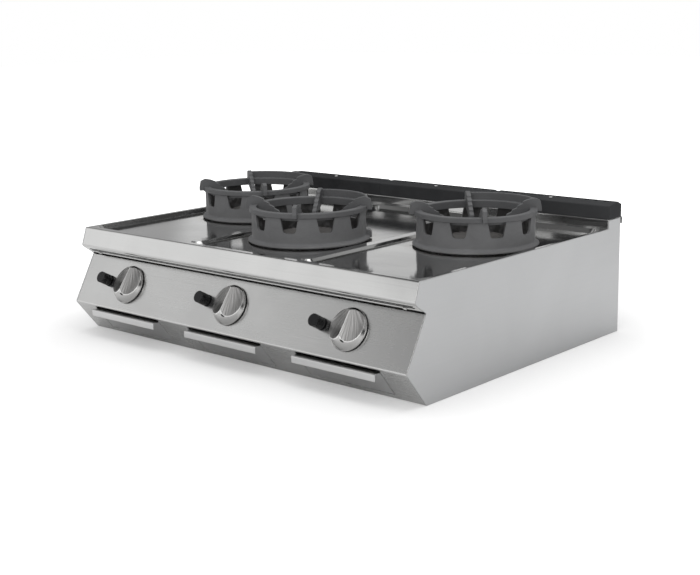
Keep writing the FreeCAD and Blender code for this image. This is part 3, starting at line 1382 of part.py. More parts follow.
def gas_inlet():
    """The inlet pipe out through the back panel, with the elbow block on its inner end."""
    body = new_body("gas_inlet")
    cube = sketch_on(body, "XY_Plane", "-elbow_size / 2")
    rectangle(cube, "-elbow_size / 2", "-elbow_size / 2", "elbow_size / 2", "elbow_size / 2",
              "elbow_size / 8")
    pad(body, cube, "elbow_size")
    length = "(rear_edge - %s)" % MANIFOLD_Y
    pipe = sketch_on(body, "XZ_Plane")
    circle(pipe, "0", "0", "inlet_pipe_radius")
    pad(body, pipe, "body_back - %s" % MANIFOLD_Y, back=True)
    thread = sketch_on(body, "XZ_Plane")
    circle(thread, "0", "0", "inlet_radius")
    pad(body, thread, length, back=True)
    bore = "manifold_radius - manifold_wall"
    drill = sketch_on(body, "XZ_Plane", "-%s" % length)
    circle(drill, "0", "0", bore)
    pocket(body, drill, length, back=True)
    side = sketch_on(body, "YZ_Plane", "-elbow_size / 2")
    circle(side, "0", "0", bore)
    pocket(body, side, "elbow_size / 2", back=True)
    place(body, "inlet_place", MANIFOLD_Y, MANIFOLD_Z)
    return done(body)


def manifold_clamp(hand):
    """A strap that carries the manifold on the base, between two trays."""
    body = new_body("manifold_clamp_left" if hand < 0 else "manifold_clamp_right")
    ring = sketch_on(body, "YZ_Plane")
    circle(ring, MANIFOLD_Y, MANIFOLD_Z, "manifold_radius + clamp_sheet")
    pad(body, ring, "clamp_width", midplane=True)
    post = sketch_on(body, "YZ_Plane")
    rectangle(post, "%s - clamp_sheet" % MANIFOLD_Y, BASE_TOP, "%s + clamp_sheet" % MANIFOLD_Y,
              MANIFOLD_Z)
    pad(body, post, "clamp_width", midplane=True)
    foot = sketch_on(body, "YZ_Plane")
    rectangle(foot, "%s - clamp_sheet" % MANIFOLD_Y, BASE_TOP, "%s + clamp_width" % MANIFOLD_Y,
              "%s + clamp_sheet" % BASE_TOP)
    pad(body, foot, "clamp_width", midplane=True)
    bore = sketch_on(body, "YZ_Plane")
    circle(bore, MANIFOLD_Y, MANIFOLD_Z, "manifold_radius")
    pocket(body, bore, "2 * clamp_width", midplane=True)
    place(body, "%d * clamp_place" % hand)
    return body


# ---------------------------------------------------------------- drip trays

def drip_tray(burner):
    """A drip tray whose slanted front closes its opening, with its finger pull."""
    body = new_body("drip_tray_" + burner["name"])
    side = sketch_on(body, "YZ_Plane")
    outline(side, [
        (TRAY_FOOT_Y, TRAY_FOOT_Z),
        ("tray_back", TRAY_FOOT_Z),
        ("tray_back", TRAY_TOP_Z),
        (TRAY_TOP_Y, TRAY_TOP_Z),
    ])
    pad(body, side, "tray_width", midplane=True)
    inside = sketch_on(body, "YZ_Plane")
    wall = "(tray_sheet / cos(%s * 1 deg))" % LOWER_TILT
    slope = "(%s / %s)" % (LOWER_RUN, PANEL_FOOT_Z)
    floor = "(%s + tray_sheet)" % TRAY_FOOT_Z
    outline(inside, [
        ("%s + %s - tray_sheet * %s" % (TRAY_FOOT_Y, wall, slope), floor),
        ("tray_back - tray_sheet", floor),
        ("tray_back - tray_sheet", "%s + tray_sheet" % TRAY_TOP_Z),
        ("%s + %s - tray_sheet * %s" % (TRAY_TOP_Y, wall, slope), "%s + tray_sheet" % TRAY_TOP_Z),
    ])
    pocket(body, inside, "tray_width - 2 * tray_sheet", midplane=True)
    pull = sketch_on(body, "YZ_Plane")
    folded_sheet(pull, [
        ("%s + %s / 2" % (TRAY_TOP_Y, wall), TRAY_TOP_Z),
        ("-pull_reach", TRAY_TOP_Z),
        ("-pull_reach", "%s - pull_height" % TRAY_TOP_Z),
    ], "tray_sheet", 1)
    pad(body, pull, "tray_width", midplane=True)
    round_bends(body, [("-pull_reach", TRAY_TOP_Z, "pull_radius")])
    place(body, burner["tray_x"])
    return done(body)


def tray_rails(burner):
    """The two rails that carry a tray, with guides, feet and stops, tied by two cross plates."""
    body = new_body("tray_rails_" + burner["name"])
    ledge = "(%s - rest_gap)" % TRAY_FOOT_Z
    guide = "(tray_width / 2 + seam_gap)"
    outer = "(%s + casing_sheet)" % guide
    inner = "(%s - runner_inset - runner_width)" % guide
    top = "(%s + runner_stop_height)" % ledge
    front = "(foot_front - panel_flange - seam_gap)"
    back = "(body_back - runner_back_gap)"
    rows = ("runner_width - %s" % front, "%s - runner_width - tie_width" % back)
    for row in rows:
        tie = sketch_on(body, "XY_Plane", BASE_TOP)
        rectangle(tie, "-" + outer, row, outer, "%s + tie_width" % row)
        pad(body, tie, "casing_sheet")
    corners = [
        (guide, BASE_TOP),
        ("%s + runner_width" % outer, BASE_TOP),
        ("%s + runner_width" % outer, "%s + casing_sheet" % BASE_TOP),
        (outer, "%s + casing_sheet" % BASE_TOP),
        (outer, top),
        (guide, top),
        (guide, ledge),
        (inner, ledge),
        (inner, "%s - casing_sheet" % ledge),
        (guide, "%s - casing_sheet" % ledge),
    ]
    for hand in (-1, 1):
        mirrored = [("%d * (%s)" % (hand, x), z) for x, z in corners]
        rail = sketch_on(body, "XZ_Plane", front)
        outline(rail, mirrored if hand > 0 else mirrored[::-1])
        pad(body, rail, "%s + %s" % (front, back), back=True)
        stop = sketch_on(body, "XZ_Plane", "-tray_back - runner_stop_gap")
        edges = ["%d * %s" % (hand, inner), "%d * (%s + casing_sheet / 2)" % (hand, guide)]
        first, last = edges if hand > 0 else edges[::-1]
        rectangle(stop, first, "%s - casing_sheet / 2" % ledge, last, top)
        pad(body, stop, "casing_sheet", back=True)
    place(body, burner["tray_x"])
    return done(body)


# ---------------------------------------------------------------- fasteners

def hardware(label, bodies):
    """Equal pieces of bought hardware, each a separate solid."""
    group = doc.addObject("Part::Compound", label)
    group.Label = label
    group.Links = bodies
    return done(group)



def screw(number, x, y, z, tilt):
    """One screw, with its head on the sheet at x, y, z and its shank behind it."""
    head = doc.addObject("Part::Cylinder", "screw_head_%d" % number)
    bind(head, "Radius", "screw_head_radius")
    bind(head, "Height", "screw_head_height")
    aim(head, "Placement", x, y, z, tilt)
    shank = doc.addObject("Part::Cylinder", "screw_shank_%d" % number)
    bind(shank, "Radius", "screw_shank_radius")
    bind(shank, "Height", "screw_shank_length + screw_head_height / 2")
    low_y = "(%s) + screw_shank_length * sin((%s) * 1 deg)" % (y, tilt)
    low_z = "(%s) - screw_shank_length * cos((%s) * 1 deg)" % (z, tilt)
    aim(shank, "Placement", x, low_y, low_z, tilt)
    joined = doc.addObject("Part::Fuse", "screw_%d" % number)
    joined.Base = head
    joined.Tool = shank
    return joined


def screws():
    """Every screw of the range: under the nose, in the back panel and in the flue cover."""
    spots = []
    for hand in (-1, 1):
        spots.append((
            "%d * (width / 2 - nose_screw_inset)" % hand,
            "%s + nose_screw_place * nose_return_run / %s" % (NOSE_LIP_Y, RETURN_LENGTH),
            "%s - nose_screw_place * nose_return_drop / %s" % (NOSE_LIP_Z, RETURN_LENGTH),
            RETURN_TILT))
    for x, z in BACK_SCREWS:
        spots.append((x, "body_back", z, "-90"))
    sunk = "%s + grille_height - screw_head_height + casing_sheet / 2" % UPSTAND_TOP
    for burner in STATIONS:
        spots.append((burner["x"], GRILLE_SCREW_Y, sunk, "0"))
    hardware("screws", [screw(number + 1, *spot) for number, spot in enumerate(spots)])


# ---------------------------------------------------------------- assembly

def build():
    side_panel("side_panel_left", -1)
    side_panel("side_panel_right", 1)
    worktop()
    front_panel()
    back_panel()
    base_panel()
    heat_shield()
    gas_manifold()
    gas_inlet()
    nose_bracket("nose_bracket_left", -1)
    nose_bracket("nose_bracket_right", 1)
    for burner in STATIONS:
        for make in (flue_grille, chamber_ring, pan_support, burner_body, burner_crown, burner_carrier,
                     spark_electrode, gas_valve, valve_spindle, knob, igniter_body, igniter_button,
                     supply_tube, drip_tray, tray_rails):
            make(burner)
    hardware("igniter_nuts", [igniter_nut(burner) for burner in STATIONS])
    hardware("manifold_clamps", [manifold_clamp(hand) for hand in (-1, 1)])
    screws()


def check():
    """Stops when any object failed to build or any sub-part isn't a valid solid."""
    wrong = []
    for thing in doc.Objects:
        if "Invalid" in thing.State or "Error" in thing.State:
            wrong.append("%s: %s" % (thing.Name, thing.State))
    for piece in pieces:
        shape = piece.Shape
        if shape.isNull() or not shape.isValid() or not shape.Solids:
            wrong.append("%s: no valid solid" % piece.Label)
        elif piece.TypeId == "PartDesign::Body" and len(shape.Solids) != 1:
            wrong.append("%s: %d solids" % (piece.Label, len(shape.Solids)))
    if wrong:
        raise RuntimeError("; ".join(wrong))


def write():
    os.makedirs("parts", exist_ok=True)
    for piece in pieces:
        piece.Shape.exportStep(os.path.join("parts", piece.Label + ".step"))
        box = piece.Shape.BoundBox
        print("%-26s %9.0f mm3  x %7.1f %7.1f  y %7.1f %7.1f  z %6.1f %6.1f" % (
            piece.Label, piece.Shape.Volume, box.XMin, box.XMax, box.YMin, box.YMax, box.ZMin, box.ZMax))


build()
doc.recompute()
check()
write()
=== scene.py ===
import math

import bmesh
import bpy
from mathutils import Matrix, Vector


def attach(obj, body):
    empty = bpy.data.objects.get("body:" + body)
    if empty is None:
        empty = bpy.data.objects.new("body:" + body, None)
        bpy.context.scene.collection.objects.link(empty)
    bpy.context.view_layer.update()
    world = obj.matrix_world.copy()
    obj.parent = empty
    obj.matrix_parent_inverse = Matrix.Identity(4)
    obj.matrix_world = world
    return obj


# Countertop wok range: looks. Metres, controls face -Y, Z up.

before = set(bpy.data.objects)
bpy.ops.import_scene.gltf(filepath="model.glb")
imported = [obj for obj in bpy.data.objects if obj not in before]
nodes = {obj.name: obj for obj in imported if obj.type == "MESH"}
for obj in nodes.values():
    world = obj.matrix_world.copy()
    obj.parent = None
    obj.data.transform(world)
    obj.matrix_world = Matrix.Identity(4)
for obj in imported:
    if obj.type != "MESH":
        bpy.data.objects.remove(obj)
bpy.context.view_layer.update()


# ---------------------------------------------------------------- sizes of the part that the looks follow

STATIONS = ("left", "middle", "right")
PITCH = 0.3
BURNERS = ((-PITCH, 0.052), (0.0, -0.097), (PITCH, 0.052))

# The control panel leans back, and a knob's axis stands square on it.
PANEL_TILT = math.radians(29)
PANEL_TOP_Y = -0.292
PANEL_TOP_Z = 0.16
KNOB_DOWN = 0.0525
KNOB_Y = PANEL_TOP_Y - KNOB_DOWN * math.sin(PANEL_TILT)
KNOB_Z = PANEL_TOP_Z - KNOB_DOWN * math.cos(PANEL_TILT)

# Each of a knob's two scoops is part of a cylinder that leans with the pointer.
SCOOP_TILT = math.radians(8)
SCOOP_RADIUS = 0.12
SCOOP_ACROSS = 0.04819
SCOOP_ABOVE = 0.1302

# The mark on a knob's heel: its place from the knob's foot, then its half length, half width and height.
MARK_RIGHT = 0.0075
MARK_DOWN = 0.025
MARK_OUT = 0.0194
MARK_SIZE = (0.0044, 0.0017, 0.0009)
MARK_RINGS = 6
MARK_STEPS = 24

# The strip folded back under the nose: where its flat part starts, how far back and down it is followed, and
# the black lines along it that are painted shadow in its gaps.
STRIP_Y = -0.3162
STRIP_Z = 0.1771
STRIP_BACK = 0.0131
STRIP_DROP = 0.0093
GAP_SHADOW_SHARES = (0.42, 0.8)
GAP_SHADOW_END = 0.436
GAP_SHADOW_RADIUS = 0.0008
GAP_SHADOW_STEPS = 8


# ---------------------------------------------------------------- camera

CAMERA_AZIMUTH = math.radians(41.81)
CAMERA_ELEVATION = math.radians(12.61)
CAMERA_ROLL = math.radians(-1.122)
CAMERA_PLACE = (1.7065, -1.8863, 0.6607)
CAMERA_LENS = 64.53


def add_camera():
    """The photograph's camera, to the right of the front and a little above, solved from the casing's edges."""
    level = math.cos(CAMERA_ELEVATION)
    back = Vector((math.sin(CAMERA_AZIMUTH) * level, -math.cos(CAMERA_AZIMUTH) * level,
                   math.sin(CAMERA_ELEVATION)))
    right = Vector((math.cos(CAMERA_AZIMUTH), math.sin(CAMERA_AZIMUTH), 0))
    up = back.cross(right)
    right_rolled = math.cos(CAMERA_ROLL) * right + math.sin(CAMERA_ROLL) * up
    up_rolled = math.cos(CAMERA_ROLL) * up - math.sin(CAMERA_ROLL) * right
    data = bpy.data.cameras.new("camera")
    data.sensor_fit = "HORIZONTAL"
    data.sensor_width = 36
    data.lens = CAMERA_LENS
    data.clip_start = 0.05
    camera = bpy.data.objects.new("camera", data)
    turn = Matrix((right_rolled, up_rolled, back)).transposed().to_4x4()
    camera.matrix_world = Matrix.Translation(CAMERA_PLACE) @ turn
    bpy.context.scene.collection.objects.link(camera)
    bpy.context.scene.camera = camera


add_camera()


# ---------------------------------------------------------------- node helpers

class Nodes:
    """A node tree that is built up in short steps. A term is a number or another node's output."""

    def __init__(self, tree):
        self.tree = tree

    def node(self, kind, **settings):
        made = self.tree.nodes.new(kind)
        for key, amount in settings.items():
            setattr(made, key, amount)
        return made

    def link(self, start, end):
        self.tree.links.new(start, end)

    def feed(self, term, socket):
        if isinstance(term, (int, float)):
            socket.default_value = term
        else:
            self.link(term, socket)

    def split(self, space="Object"):
        """Texture coordinates as three numbers."""
        source = self.node("ShaderNodeTexCoord")
        axes = self.node("ShaderNodeSeparateXYZ")
        self.link(source.outputs[space], axes.inputs["Vector"])
        return axes.outputs

    def math(self, kind, first, *others):
        """One operation on one term, or on several from left to right."""
        for other in others or (0.0,):
            step = self.node("ShaderNodeMath", operation=kind)
            self.feed(first, step.inputs[0])
            self.feed(other, step.inputs[1])
            first = step.outputs[0]
        return first

    def add(self, *terms):
        return self.math("ADD", *terms)

    def minus(self, first, second):
        return self.math("SUBTRACT", first, second)

    def times(self, *terms):
        return self.math("MULTIPLY", *terms)

    def larger(self, *terms):
        return self.math("MAXIMUM", *terms)

    def reach(self, across, along):
        """The length of a flat vector."""
        return self.math("SQRT", self.add(self.times(across, across), self.times(along, along)))

    def span(self, value, low, high, start=0.3, end=0.7, **settings):
        """Maps start..end of a value to low..high."""
        step = self.node("ShaderNodeMapRange", **settings)
        step.inputs["From Min"].default_value = start
        step.inputs["From Max"].default_value = end
        step.inputs["To Min"].default_value = low
        step.inputs["To Max"].default_value = high
        self.link(value, step.inputs["Value"])
        return step.outputs["Result"]


class Paint(Nodes):
    """A material."""

    def __init__(self, name, colour, roughness, metallic=0.0):
        self.material = bpy.data.materials.new(name)
        self.material.use_nodes = True
        super().__init__(self.material.node_tree)
        self.shader = self.tree.nodes["Principled BSDF"]
        self.put("Base Color", (*colour, 1))
        self.put("Roughness", roughness)
        self.put("Metallic", metallic)

    def put(self, socket, amount):
        self.shader.inputs[socket].default_value = amount

    def source(self, socket):
        """The output that feeds one of the shader's inputs."""
        return self.shader.inputs[socket].links[0].from_socket

    def place(self, scale, turn=(0, 0, 0)):
        """Object coordinates, turned and scaled per axis."""
        source = self.node("ShaderNodeTexCoord")
        mapping = self.node("ShaderNodeMapping")
        mapping.inputs["Scale"].default_value = scale
        mapping.inputs["Rotation"].default_value = turn
        self.link(source.outputs["Object"], mapping.inputs["Vector"])
        return mapping.outputs["Vector"]

    def grain(self, vector, detail, roughness, distortion=0.0):
        """Noise over a vector that is scaled already."""
        texture = self.node("ShaderNodeTexNoise")
        texture.inputs["Scale"].default_value = 1
        texture.inputs["Detail"].default_value = detail
        texture.inputs["Roughness"].default_value = roughness
        texture.inputs["Distortion"].default_value = distortion
        self.link(vector, texture.inputs["Vector"])
        return texture.outputs["Fac"]

    def noise(self, scale, detail=3.0, roughness=0.55, turn=(0, 0, 0), distortion=0.0):
        """Noise of about 1/scale metres; the scale is one number, or one for each axis."""
        scales = (scale,) * 3 if isinstance(scale, (int, float)) else scale
        return self.grain(self.place(scales, turn), detail, roughness, distortion)

    def blend(self, factor, first, second):
        """Mixes two colours; each is a triple or an output."""
        mix = self.node("ShaderNodeMix", data_type="RGBA")
        self.link(factor, mix.inputs["Factor"])
        for socket, given in ((mix.inputs["A"], first), (mix.inputs["B"], second)):
            if isinstance(given, tuple):
                socket.default_value = (*given, 1)
            else:
                self.link(given, socket)
        return mix.outputs["Result"]

    def tint(self, factor, first, second):
        self.link(self.blend(factor, first, second), self.shader.inputs["Base Color"])

    def rough(self, value):
        self.link(value, self.shader.inputs["Roughness"])

    def soften(self, radius):
        """Rounds the folds and edges so that they catch light."""
        step = self.node("ShaderNodeBevel", samples=4)
        step.inputs["Radius"].default_value = radius
        self.link(step.outputs["Normal"], self.shader.inputs["Normal"])
        return self

    def bump(self, height, strength, distance):
        """Adds relief on top of what is there."""
        step = self.node("ShaderNodeBump")
        step.inputs["Strength"].default_value = strength
        step.inputs["Distance"].default_value = distance
        self.link(height, step.inputs["Height"])
        normal = self.shader.inputs["Normal"]
        if normal.is_linked:
            self.link(self.source("Normal"), step.inputs["Normal"])
        self.link(step.outputs["Normal"], normal)


def scaled(colour, factor):
    return tuple(channel * factor for channel in colour)


# ---------------------------------------------------------------- materials

RING_INSIDE_BLACK = (0.03, 0.029, 0.028)
# The flue's lighter colour, for its heat-bleached blotches and for painted light towards the right.
PALE_AND_LIT = (0.05, 0.051, 0.053)
DECK_RING_DARK = (0.045, 0.04, 0.037)
HEAT_STAIN = (0.3, 0.25, 0.19)
# The knob's colours: its polish, the scoops' dark and light streaks (partly painted reflection), and a painted
# highlight for its edges.
KNOB_POLISH = (0.5, 0.496, 0.49)
KNOB_DARK = (0.3, 0.297, 0.292)
KNOB_LIGHT = (0.84, 0.83, 0.82)
KNOB_GLINT = (0.95, 0.95, 0.94)

# The brushed lines in the scoops meet this far above the knob's axis.
FAN_ABOVE = 0.05
FAN_LINES = 26
FAN_STREAKS = 12


def steel(name, colour, roughness, grain, lines=0.03, smears=0.03, gloss=0.035, bump=0.012):
    """Brushed metal: hair lines along one axis, faint wiping marks, a few scratches."""
    def drawn(across, along):
        """A noise scale that is drawn out along the grain."""
        return [along if axis == grain else across for axis in "xyz"]

    paint = Paint(name, colour, roughness, metallic=1.0).soften(0.0018)
    hair = paint.noise(drawn(2600, 9), 2.0)
    streak = paint.noise(drawn(420, 2.5), 3.0)
    wipe = paint.noise(4.5, 4.0, 0.6, distortion=0.8)
    scratch = paint.noise((7, 420, 420), 1.0, 0.4, turn=(0.35, 0.5, 0.6))
    brushed = paint.add(paint.times(hair, 0.6), paint.times(streak, 0.4))
    tone = paint.span(brushed, -lines, lines)
    cloud = paint.span(wipe, -smears, smears)
    level = paint.add(tone, cloud, 0.5)
    marks = paint.span(scratch, 0, 1, start=0.68, end=0.74)
    clean = paint.blend(level, scaled(colour, 0.5), scaled(colour, 1.5))
    paint.tint(paint.times(marks, 0.06), clean, scaled(colour, 0.8))
    even = paint.add(paint.span(wipe, gloss, -gloss), paint.span(brushed, gloss / 2, -gloss / 2))
    paint.rough(paint.add(even, roughness, paint.times(marks, 0.02)))
    paint.bump(brushed, bump, 0.0002)
    return paint


def iron(name, colour, roughness, bump=0.3, grain=1100, dust=0.16, specular=0.4):
    """A sand casting under matt paint: fine grain, soft waves, dusty lighter patches."""
    paint = Paint(name, colour, roughness).soften(0.0014)
    pits = paint.noise(grain, 4.0, 0.65)
    waves = paint.noise(38, 3.0, 0.5)
    patch = paint.noise((15, 15, 24), 5.0, 0.62, distortion=0.5)
    level = paint.add(paint.times(patch, 0.72), paint.times(pits, 0.28))
    paint.tint(paint.span(level, 0, 1), scaled(colour, 1 - dust), scaled(colour, 1 + dust))
    paint.rough(paint.span(level, roughness + 0.1, roughness - 0.1))
    paint.bump(pits, bump, 0.0003)
    paint.bump(waves, bump * 0.5, 0.001)
    paint.put("Specular IOR Level", specular)
    return paint


def from_burner(paint):
    """Distance from the nearest burner's axis."""
    place = paint.split()
    reaches = [paint.reach(paint.minus(place["X"], x), paint.minus(place["Y"], y)) for x, y in BURNERS]
    return paint.math("MINIMUM", *reaches)


def blackened_inside(paint):
    """Blackens a casting within a set distance of the nearest burner's axis."""
    base = paint.source("Base Color")
    ragged = paint.add(from_burner(paint), paint.span(paint.noise(60, 3.0), -0.002, 0.002))
    paint.tint(paint.span(ragged, 1, 0, start=0.1085, end=0.1125), base, RING_INSIDE_BLACK)
    return paint


def blotched_and_lit(paint):
    """Bleaches a casting's paint by heat in blotches, and lightens it more towards the right-hand end as
    painted light.
    """
    base = paint.source("Base Color")
    blotch = paint.span(paint.noise(9, 4.0, 0.6), -0.2, 0.2)
    # The rise towards the right-hand end is painted light; the blotches are the paint's own.
    pale_and_lit = paint.add(paint.span(paint.split()["X"], 0.0, 1.0, start=-0.3, end=0.5), blotch)
    paint.tint(pale_and_lit, base, PALE_AND_LIT)
    return paint


def deck_dark_in_rings():
    """Bright sheet, dull and nearly black inside the rings and stained brown by heat round them."""
    paint = steel("deck_steel", (0.6, 0.6, 0.595), 0.115, "x", lines=0.02, gloss=0.03, bump=0.006)
    ragged = paint.add(from_burner(paint), paint.span(paint.noise(30, 4.0), -0.012, 0.012))
    ring_dark = paint.span(ragged, 1, 0, start=0.106, end=0.122)
    stain = paint.span(ragged, 1, 0, start=0.118, end=0.15)
    warm = paint.blend(paint.times(stain, 0.3), paint.source("Base Color"), HEAT_STAIN)
    paint.tint(paint.times(ring_dark, 0.9), warm, DECK_RING_DARK)
    paint.rough(paint.add(paint.source("Roughness"), paint.times(ring_dark, 0.4)))
    return paint


def zinc():
    """Zinc-coated sheet with its spangle."""
    paint = Paint("zinc_steel", (0.5, 0.51, 0.52), 0.42, metallic=1.0)
    spangle = paint.node("ShaderNodeTexVoronoi")
    spangle.inputs["Scale"].default_value = 1
    paint.link(paint.place((95, 95, 95)), spangle.inputs["Vector"])
    grey = paint.node("ShaderNodeSeparateColor")
    paint.link(spangle.outputs["Color"], grey.inputs["Color"])
    cloud = paint.noise(6, 4.0, 0.6, distortion=0.5)
    level = paint.add(paint.times(grey.outputs["Red"], 0.5), paint.times(cloud, 0.5))
    paint.tint(paint.span(level, 0, 1, start=0.2, end=0.8), (0.45, 0.46, 0.47), (0.55, 0.56, 0.57))
    paint.rough(paint.span(level, 0.48, 0.38, start=0.2, end=0.8))
    paint.bump(paint.noise(700, 3.0), 0.12, 0.0003)
    return paint


def turned_knob():
    """Polished metal; the scoops are brushed in lines that fan out from the pointer's upper end.

    The lines' dark and light streaks are partly the brushing and partly painted reflection, and the scoops'
    edges and the ridge between them carry a painted highlight.
    """
    paint = Paint("knob_metal", KNOB_POLISH, 0.13, metallic=1.0).soften(0.0007)
    place = paint.split()

    # Each knob's own axes: across it either way, out along its shaft, and up the panel.
    folded = paint.math("PINGPONG", paint.add(place["X"], PITCH / 2), PITCH)
    across = paint.math("ABSOLUTE", paint.minus(folded, PITCH / 2))
    ahead = paint.minus(place["Y"], KNOB_Y)
    above = paint.minus(place["Z"], KNOB_Z)
    rise = paint.add(paint.times(ahead, -math.cos(PANEL_TILT)), paint.times(above, math.sin(PANEL_TILT)))
    climb = paint.add(paint.times(ahead, math.sin(PANEL_TILT)), paint.times(above, math.cos(PANEL_TILT)))

    # The distance from the scoop's cylinder: none is in the scoop, a little is on its edge, painted with a
    # highlight.
    leant = paint.add(paint.times(climb, math.sin(SCOOP_TILT)), paint.times(rise, math.cos(SCOOP_TILT)))
    reach = paint.reach(paint.minus(across, SCOOP_ACROSS), paint.minus(leant, SCOOP_ABOVE))
    off = paint.math("ABSOLUTE", paint.minus(reach, SCOOP_RADIUS))
    scoop = paint.span(off, 1, 0, start=0.0002, end=0.0004)
    rest = paint.minus(1.0, scoop)
    edge_glint = paint.times(paint.span(off, 1, 0, start=0.0006, end=0.0012), rest)
    ridge_glint = paint.times(paint.span(across, 1, 0, start=0.0005, end=0.001), scoop)
    glint = paint.larger(edge_glint, ridge_glint)

    fan = paint.math("ARCTAN2", across, paint.minus(FAN_ABOVE, climb))
    spread = paint.node("ShaderNodeCombineXYZ")
    paint.link(paint.times(fan, FAN_LINES), spread.inputs["X"])
    paint.link(paint.times(climb, FAN_STREAKS), spread.inputs["Y"])
    lines = paint.grain(spread.outputs["Vector"], 5.0, 0.65)
    smear = paint.noise(90, 3.0, 0.6)
    # The scoops' streaks: brushed lines, made darker and lighter as painted reflection.
    shade = paint.blend(paint.span(lines, 0, 1, start=0.38, end=0.64), KNOB_DARK, KNOB_LIGHT)
    # A painted highlight along the scoops' edges and the ridge.
    paint.tint(glint, paint.blend(scoop, KNOB_POLISH, shade), KNOB_GLINT)
    polished = paint.span(smear, 0.13, 0.21)
    brushed = paint.span(lines, 0.36, 0.22)
    even = paint.add(paint.times(scoop, brushed), paint.times(rest, polished))
    paint.rough(paint.add(even, paint.times(glint, 0.2)))
    paint.bump(paint.times(lines, scoop), 0.2, 0.0004)
    return paint


def plastic():
    """Black moulded plastic with a fine grain and finger marks."""
    paint = Paint("igniter_plastic", (0.006, 0.006, 0.007), 0.3).soften(0.0006)
    smear = paint.noise(110, 3.0, 0.6)
    paint.tint(paint.span(smear, 0, 1), (0.003, 0.003, 0.0035), (0.008, 0.008, 0.009))
    paint.rough(paint.span(smear, 0.16, 0.34))
    paint.bump(paint.noise(2500, 2.0), 0.08, 0.0002)
    paint.put("Specular IOR Level", 0.28)
    return paint


def glazed():
    """Pale ceramic with burnt patches."""
    paint = Paint("electrode_ceramic", (0.8, 0.79, 0.75), 0.25)
    burn = paint.noise(160, 3.0)
    paint.tint(paint.span(burn, 0, 1, start=0.45, end=0.75), (0.82, 0.81, 0.77), (0.5, 0.43, 0.34))
    paint.rough(paint.span(burn, 0.18, 0.4))
    return paint


casing_steel = steel("casing_steel", (0.64, 0.64, 0.635), 0.27, "x", lines=0.018, smears=0.02)
side_steel = steel("side_steel", (0.61, 0.615, 0.62), 0.45, "y", lines=0.012, smears=0.012, gloss=0.02)
tray_steel = steel("tray_steel", (0.67, 0.67, 0.67), 0.32, "x")
pipe_steel = steel("pipe_steel", (0.36, 0.36, 0.36), 0.38, "x", smears=0.15)
brass = steel("gas_brass", (0.7, 0.48, 0.19), 0.3, "z")
chrome = steel("fastener_chrome", (0.68, 0.68, 0.68), 0.16, "z", bump=0.005)
deck_steel = deck_dark_in_rings()
zinc_steel = zinc()
ring_iron = blackened_inside(iron("ring_iron", (0.13, 0.131, 0.134), 0.56))
support_iron = iron("support_iron", (0.098, 0.099, 0.102), 0.54)
flue_iron = blotched_and_lit(iron("flue_iron", (0.03, 0.0305, 0.032), 0.7, bump=0.14, grain=600, dust=0.3,
                       specular=0.02))
burner_iron = iron("burner_iron", (0.06, 0.057, 0.054), 0.62, dust=0.3)
knob_metal = turned_knob()
ceramic = glazed()
black = plastic()

# By a node's name, or by its name without the last word. Every node that isn't here is zinc-coated.
PAINTS = {
    "side_panel": side_steel,
    "front_panel": casing_steel,
    "worktop": deck_steel,
    "drip_tray": tray_steel,
    "flue_grille": flue_iron,
    "chamber_ring": ring_iron,
    "pan_support": support_iron,
    "burner_body": burner_iron,
    "burner_crown": burner_iron,
    "gas_valve": brass,
    "valve_spindle": brass,
    "supply_tube": brass,
    "gas_manifold": pipe_steel,
    "gas_inlet": pipe_steel,
    "knob": knob_metal,
    "igniter_body": black,
    "igniter_button": black,
    "igniter_nuts": black,
    "spark_electrode": ceramic,
    "screws": chrome,
}


def wear(node, paint):
    """Gives a CAD node one material."""
    mesh = nodes[node].data
    mesh.materials.clear()
    mesh.materials.append(paint.material)


for node in nodes:
    family = node if node in PAINTS else node.rsplit("_", 1)[0]
    wear(node, PAINTS.get(family, zinc_steel))


# ---------------------------------------------------------------- pieces for looks only

def piece(name, body, points, faces, paint):
    """A small mesh that rides one body."""
    mesh = bpy.data.meshes.new(name)
    mesh.from_pydata(points, [], faces)
    mesh.polygons.foreach_set("use_smooth", [True] * len(faces))
    mesh.materials.append(paint.material)
    made = bpy.data.objects.new(name, mesh)
    bpy.context.scene.collection.objects.link(made)
    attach(made, body)


def band(first, steps):
    """Faces between two rings of points, numbered one after the other from first on."""
    faces = []
    for step in range(steps):
        after = (step + 1) % steps
        faces.append((first + step, first + after, first + steps + after, first + steps + step))
    return faces


def knob_mark(station, x):
    """The dark lens-shaped mark set into the knob's heel, under the pointer's lower end."""
    normal = Vector((0, -math.cos(PANEL_TILT), math.sin(PANEL_TILT)))
    up = Vector((0, math.sin(PANEL_TILT), math.cos(PANEL_TILT)))
    side = Vector((1, 0, 0))
    middle = Vector((x, KNOB_Y, KNOB_Z)) + MARK_RIGHT * side - MARK_DOWN * up + MARK_OUT * normal
    outward = (0.13 * side - 0.42 * up + 0.9 * normal).normalized()
    along = 0.9 * side - 0.44 * up
    along = (along - along.dot(outward) * outward).normalized()
    short = outward.cross(along)
    half_length, half_width, height = MARK_SIZE
    points = []
    for ring in range(MARK_RINGS):
        lean = math.radians(90 / MARK_RINGS * ring)
        for step in range(MARK_STEPS):
            turn = math.tau * step / MARK_STEPS
            points.append(middle + half_length * math.cos(lean) * math.cos(turn) * along
                          + half_width * math.cos(lean) * math.sin(turn) * short
                          + height * math.sin(lean) * outward)
    points.append(middle + height * outward)
    faces = []
    for ring in range(MARK_RINGS - 1):
        faces += band(ring * MARK_STEPS, MARK_STEPS)
    tip = MARK_RINGS * MARK_STEPS
    last = tip - MARK_STEPS
    faces += [(last + step, last + (step + 1) % MARK_STEPS, tip) for step in range(MARK_STEPS)]
    piece("knob_mark_" + station, "control_knob_" + station, points, faces, black)


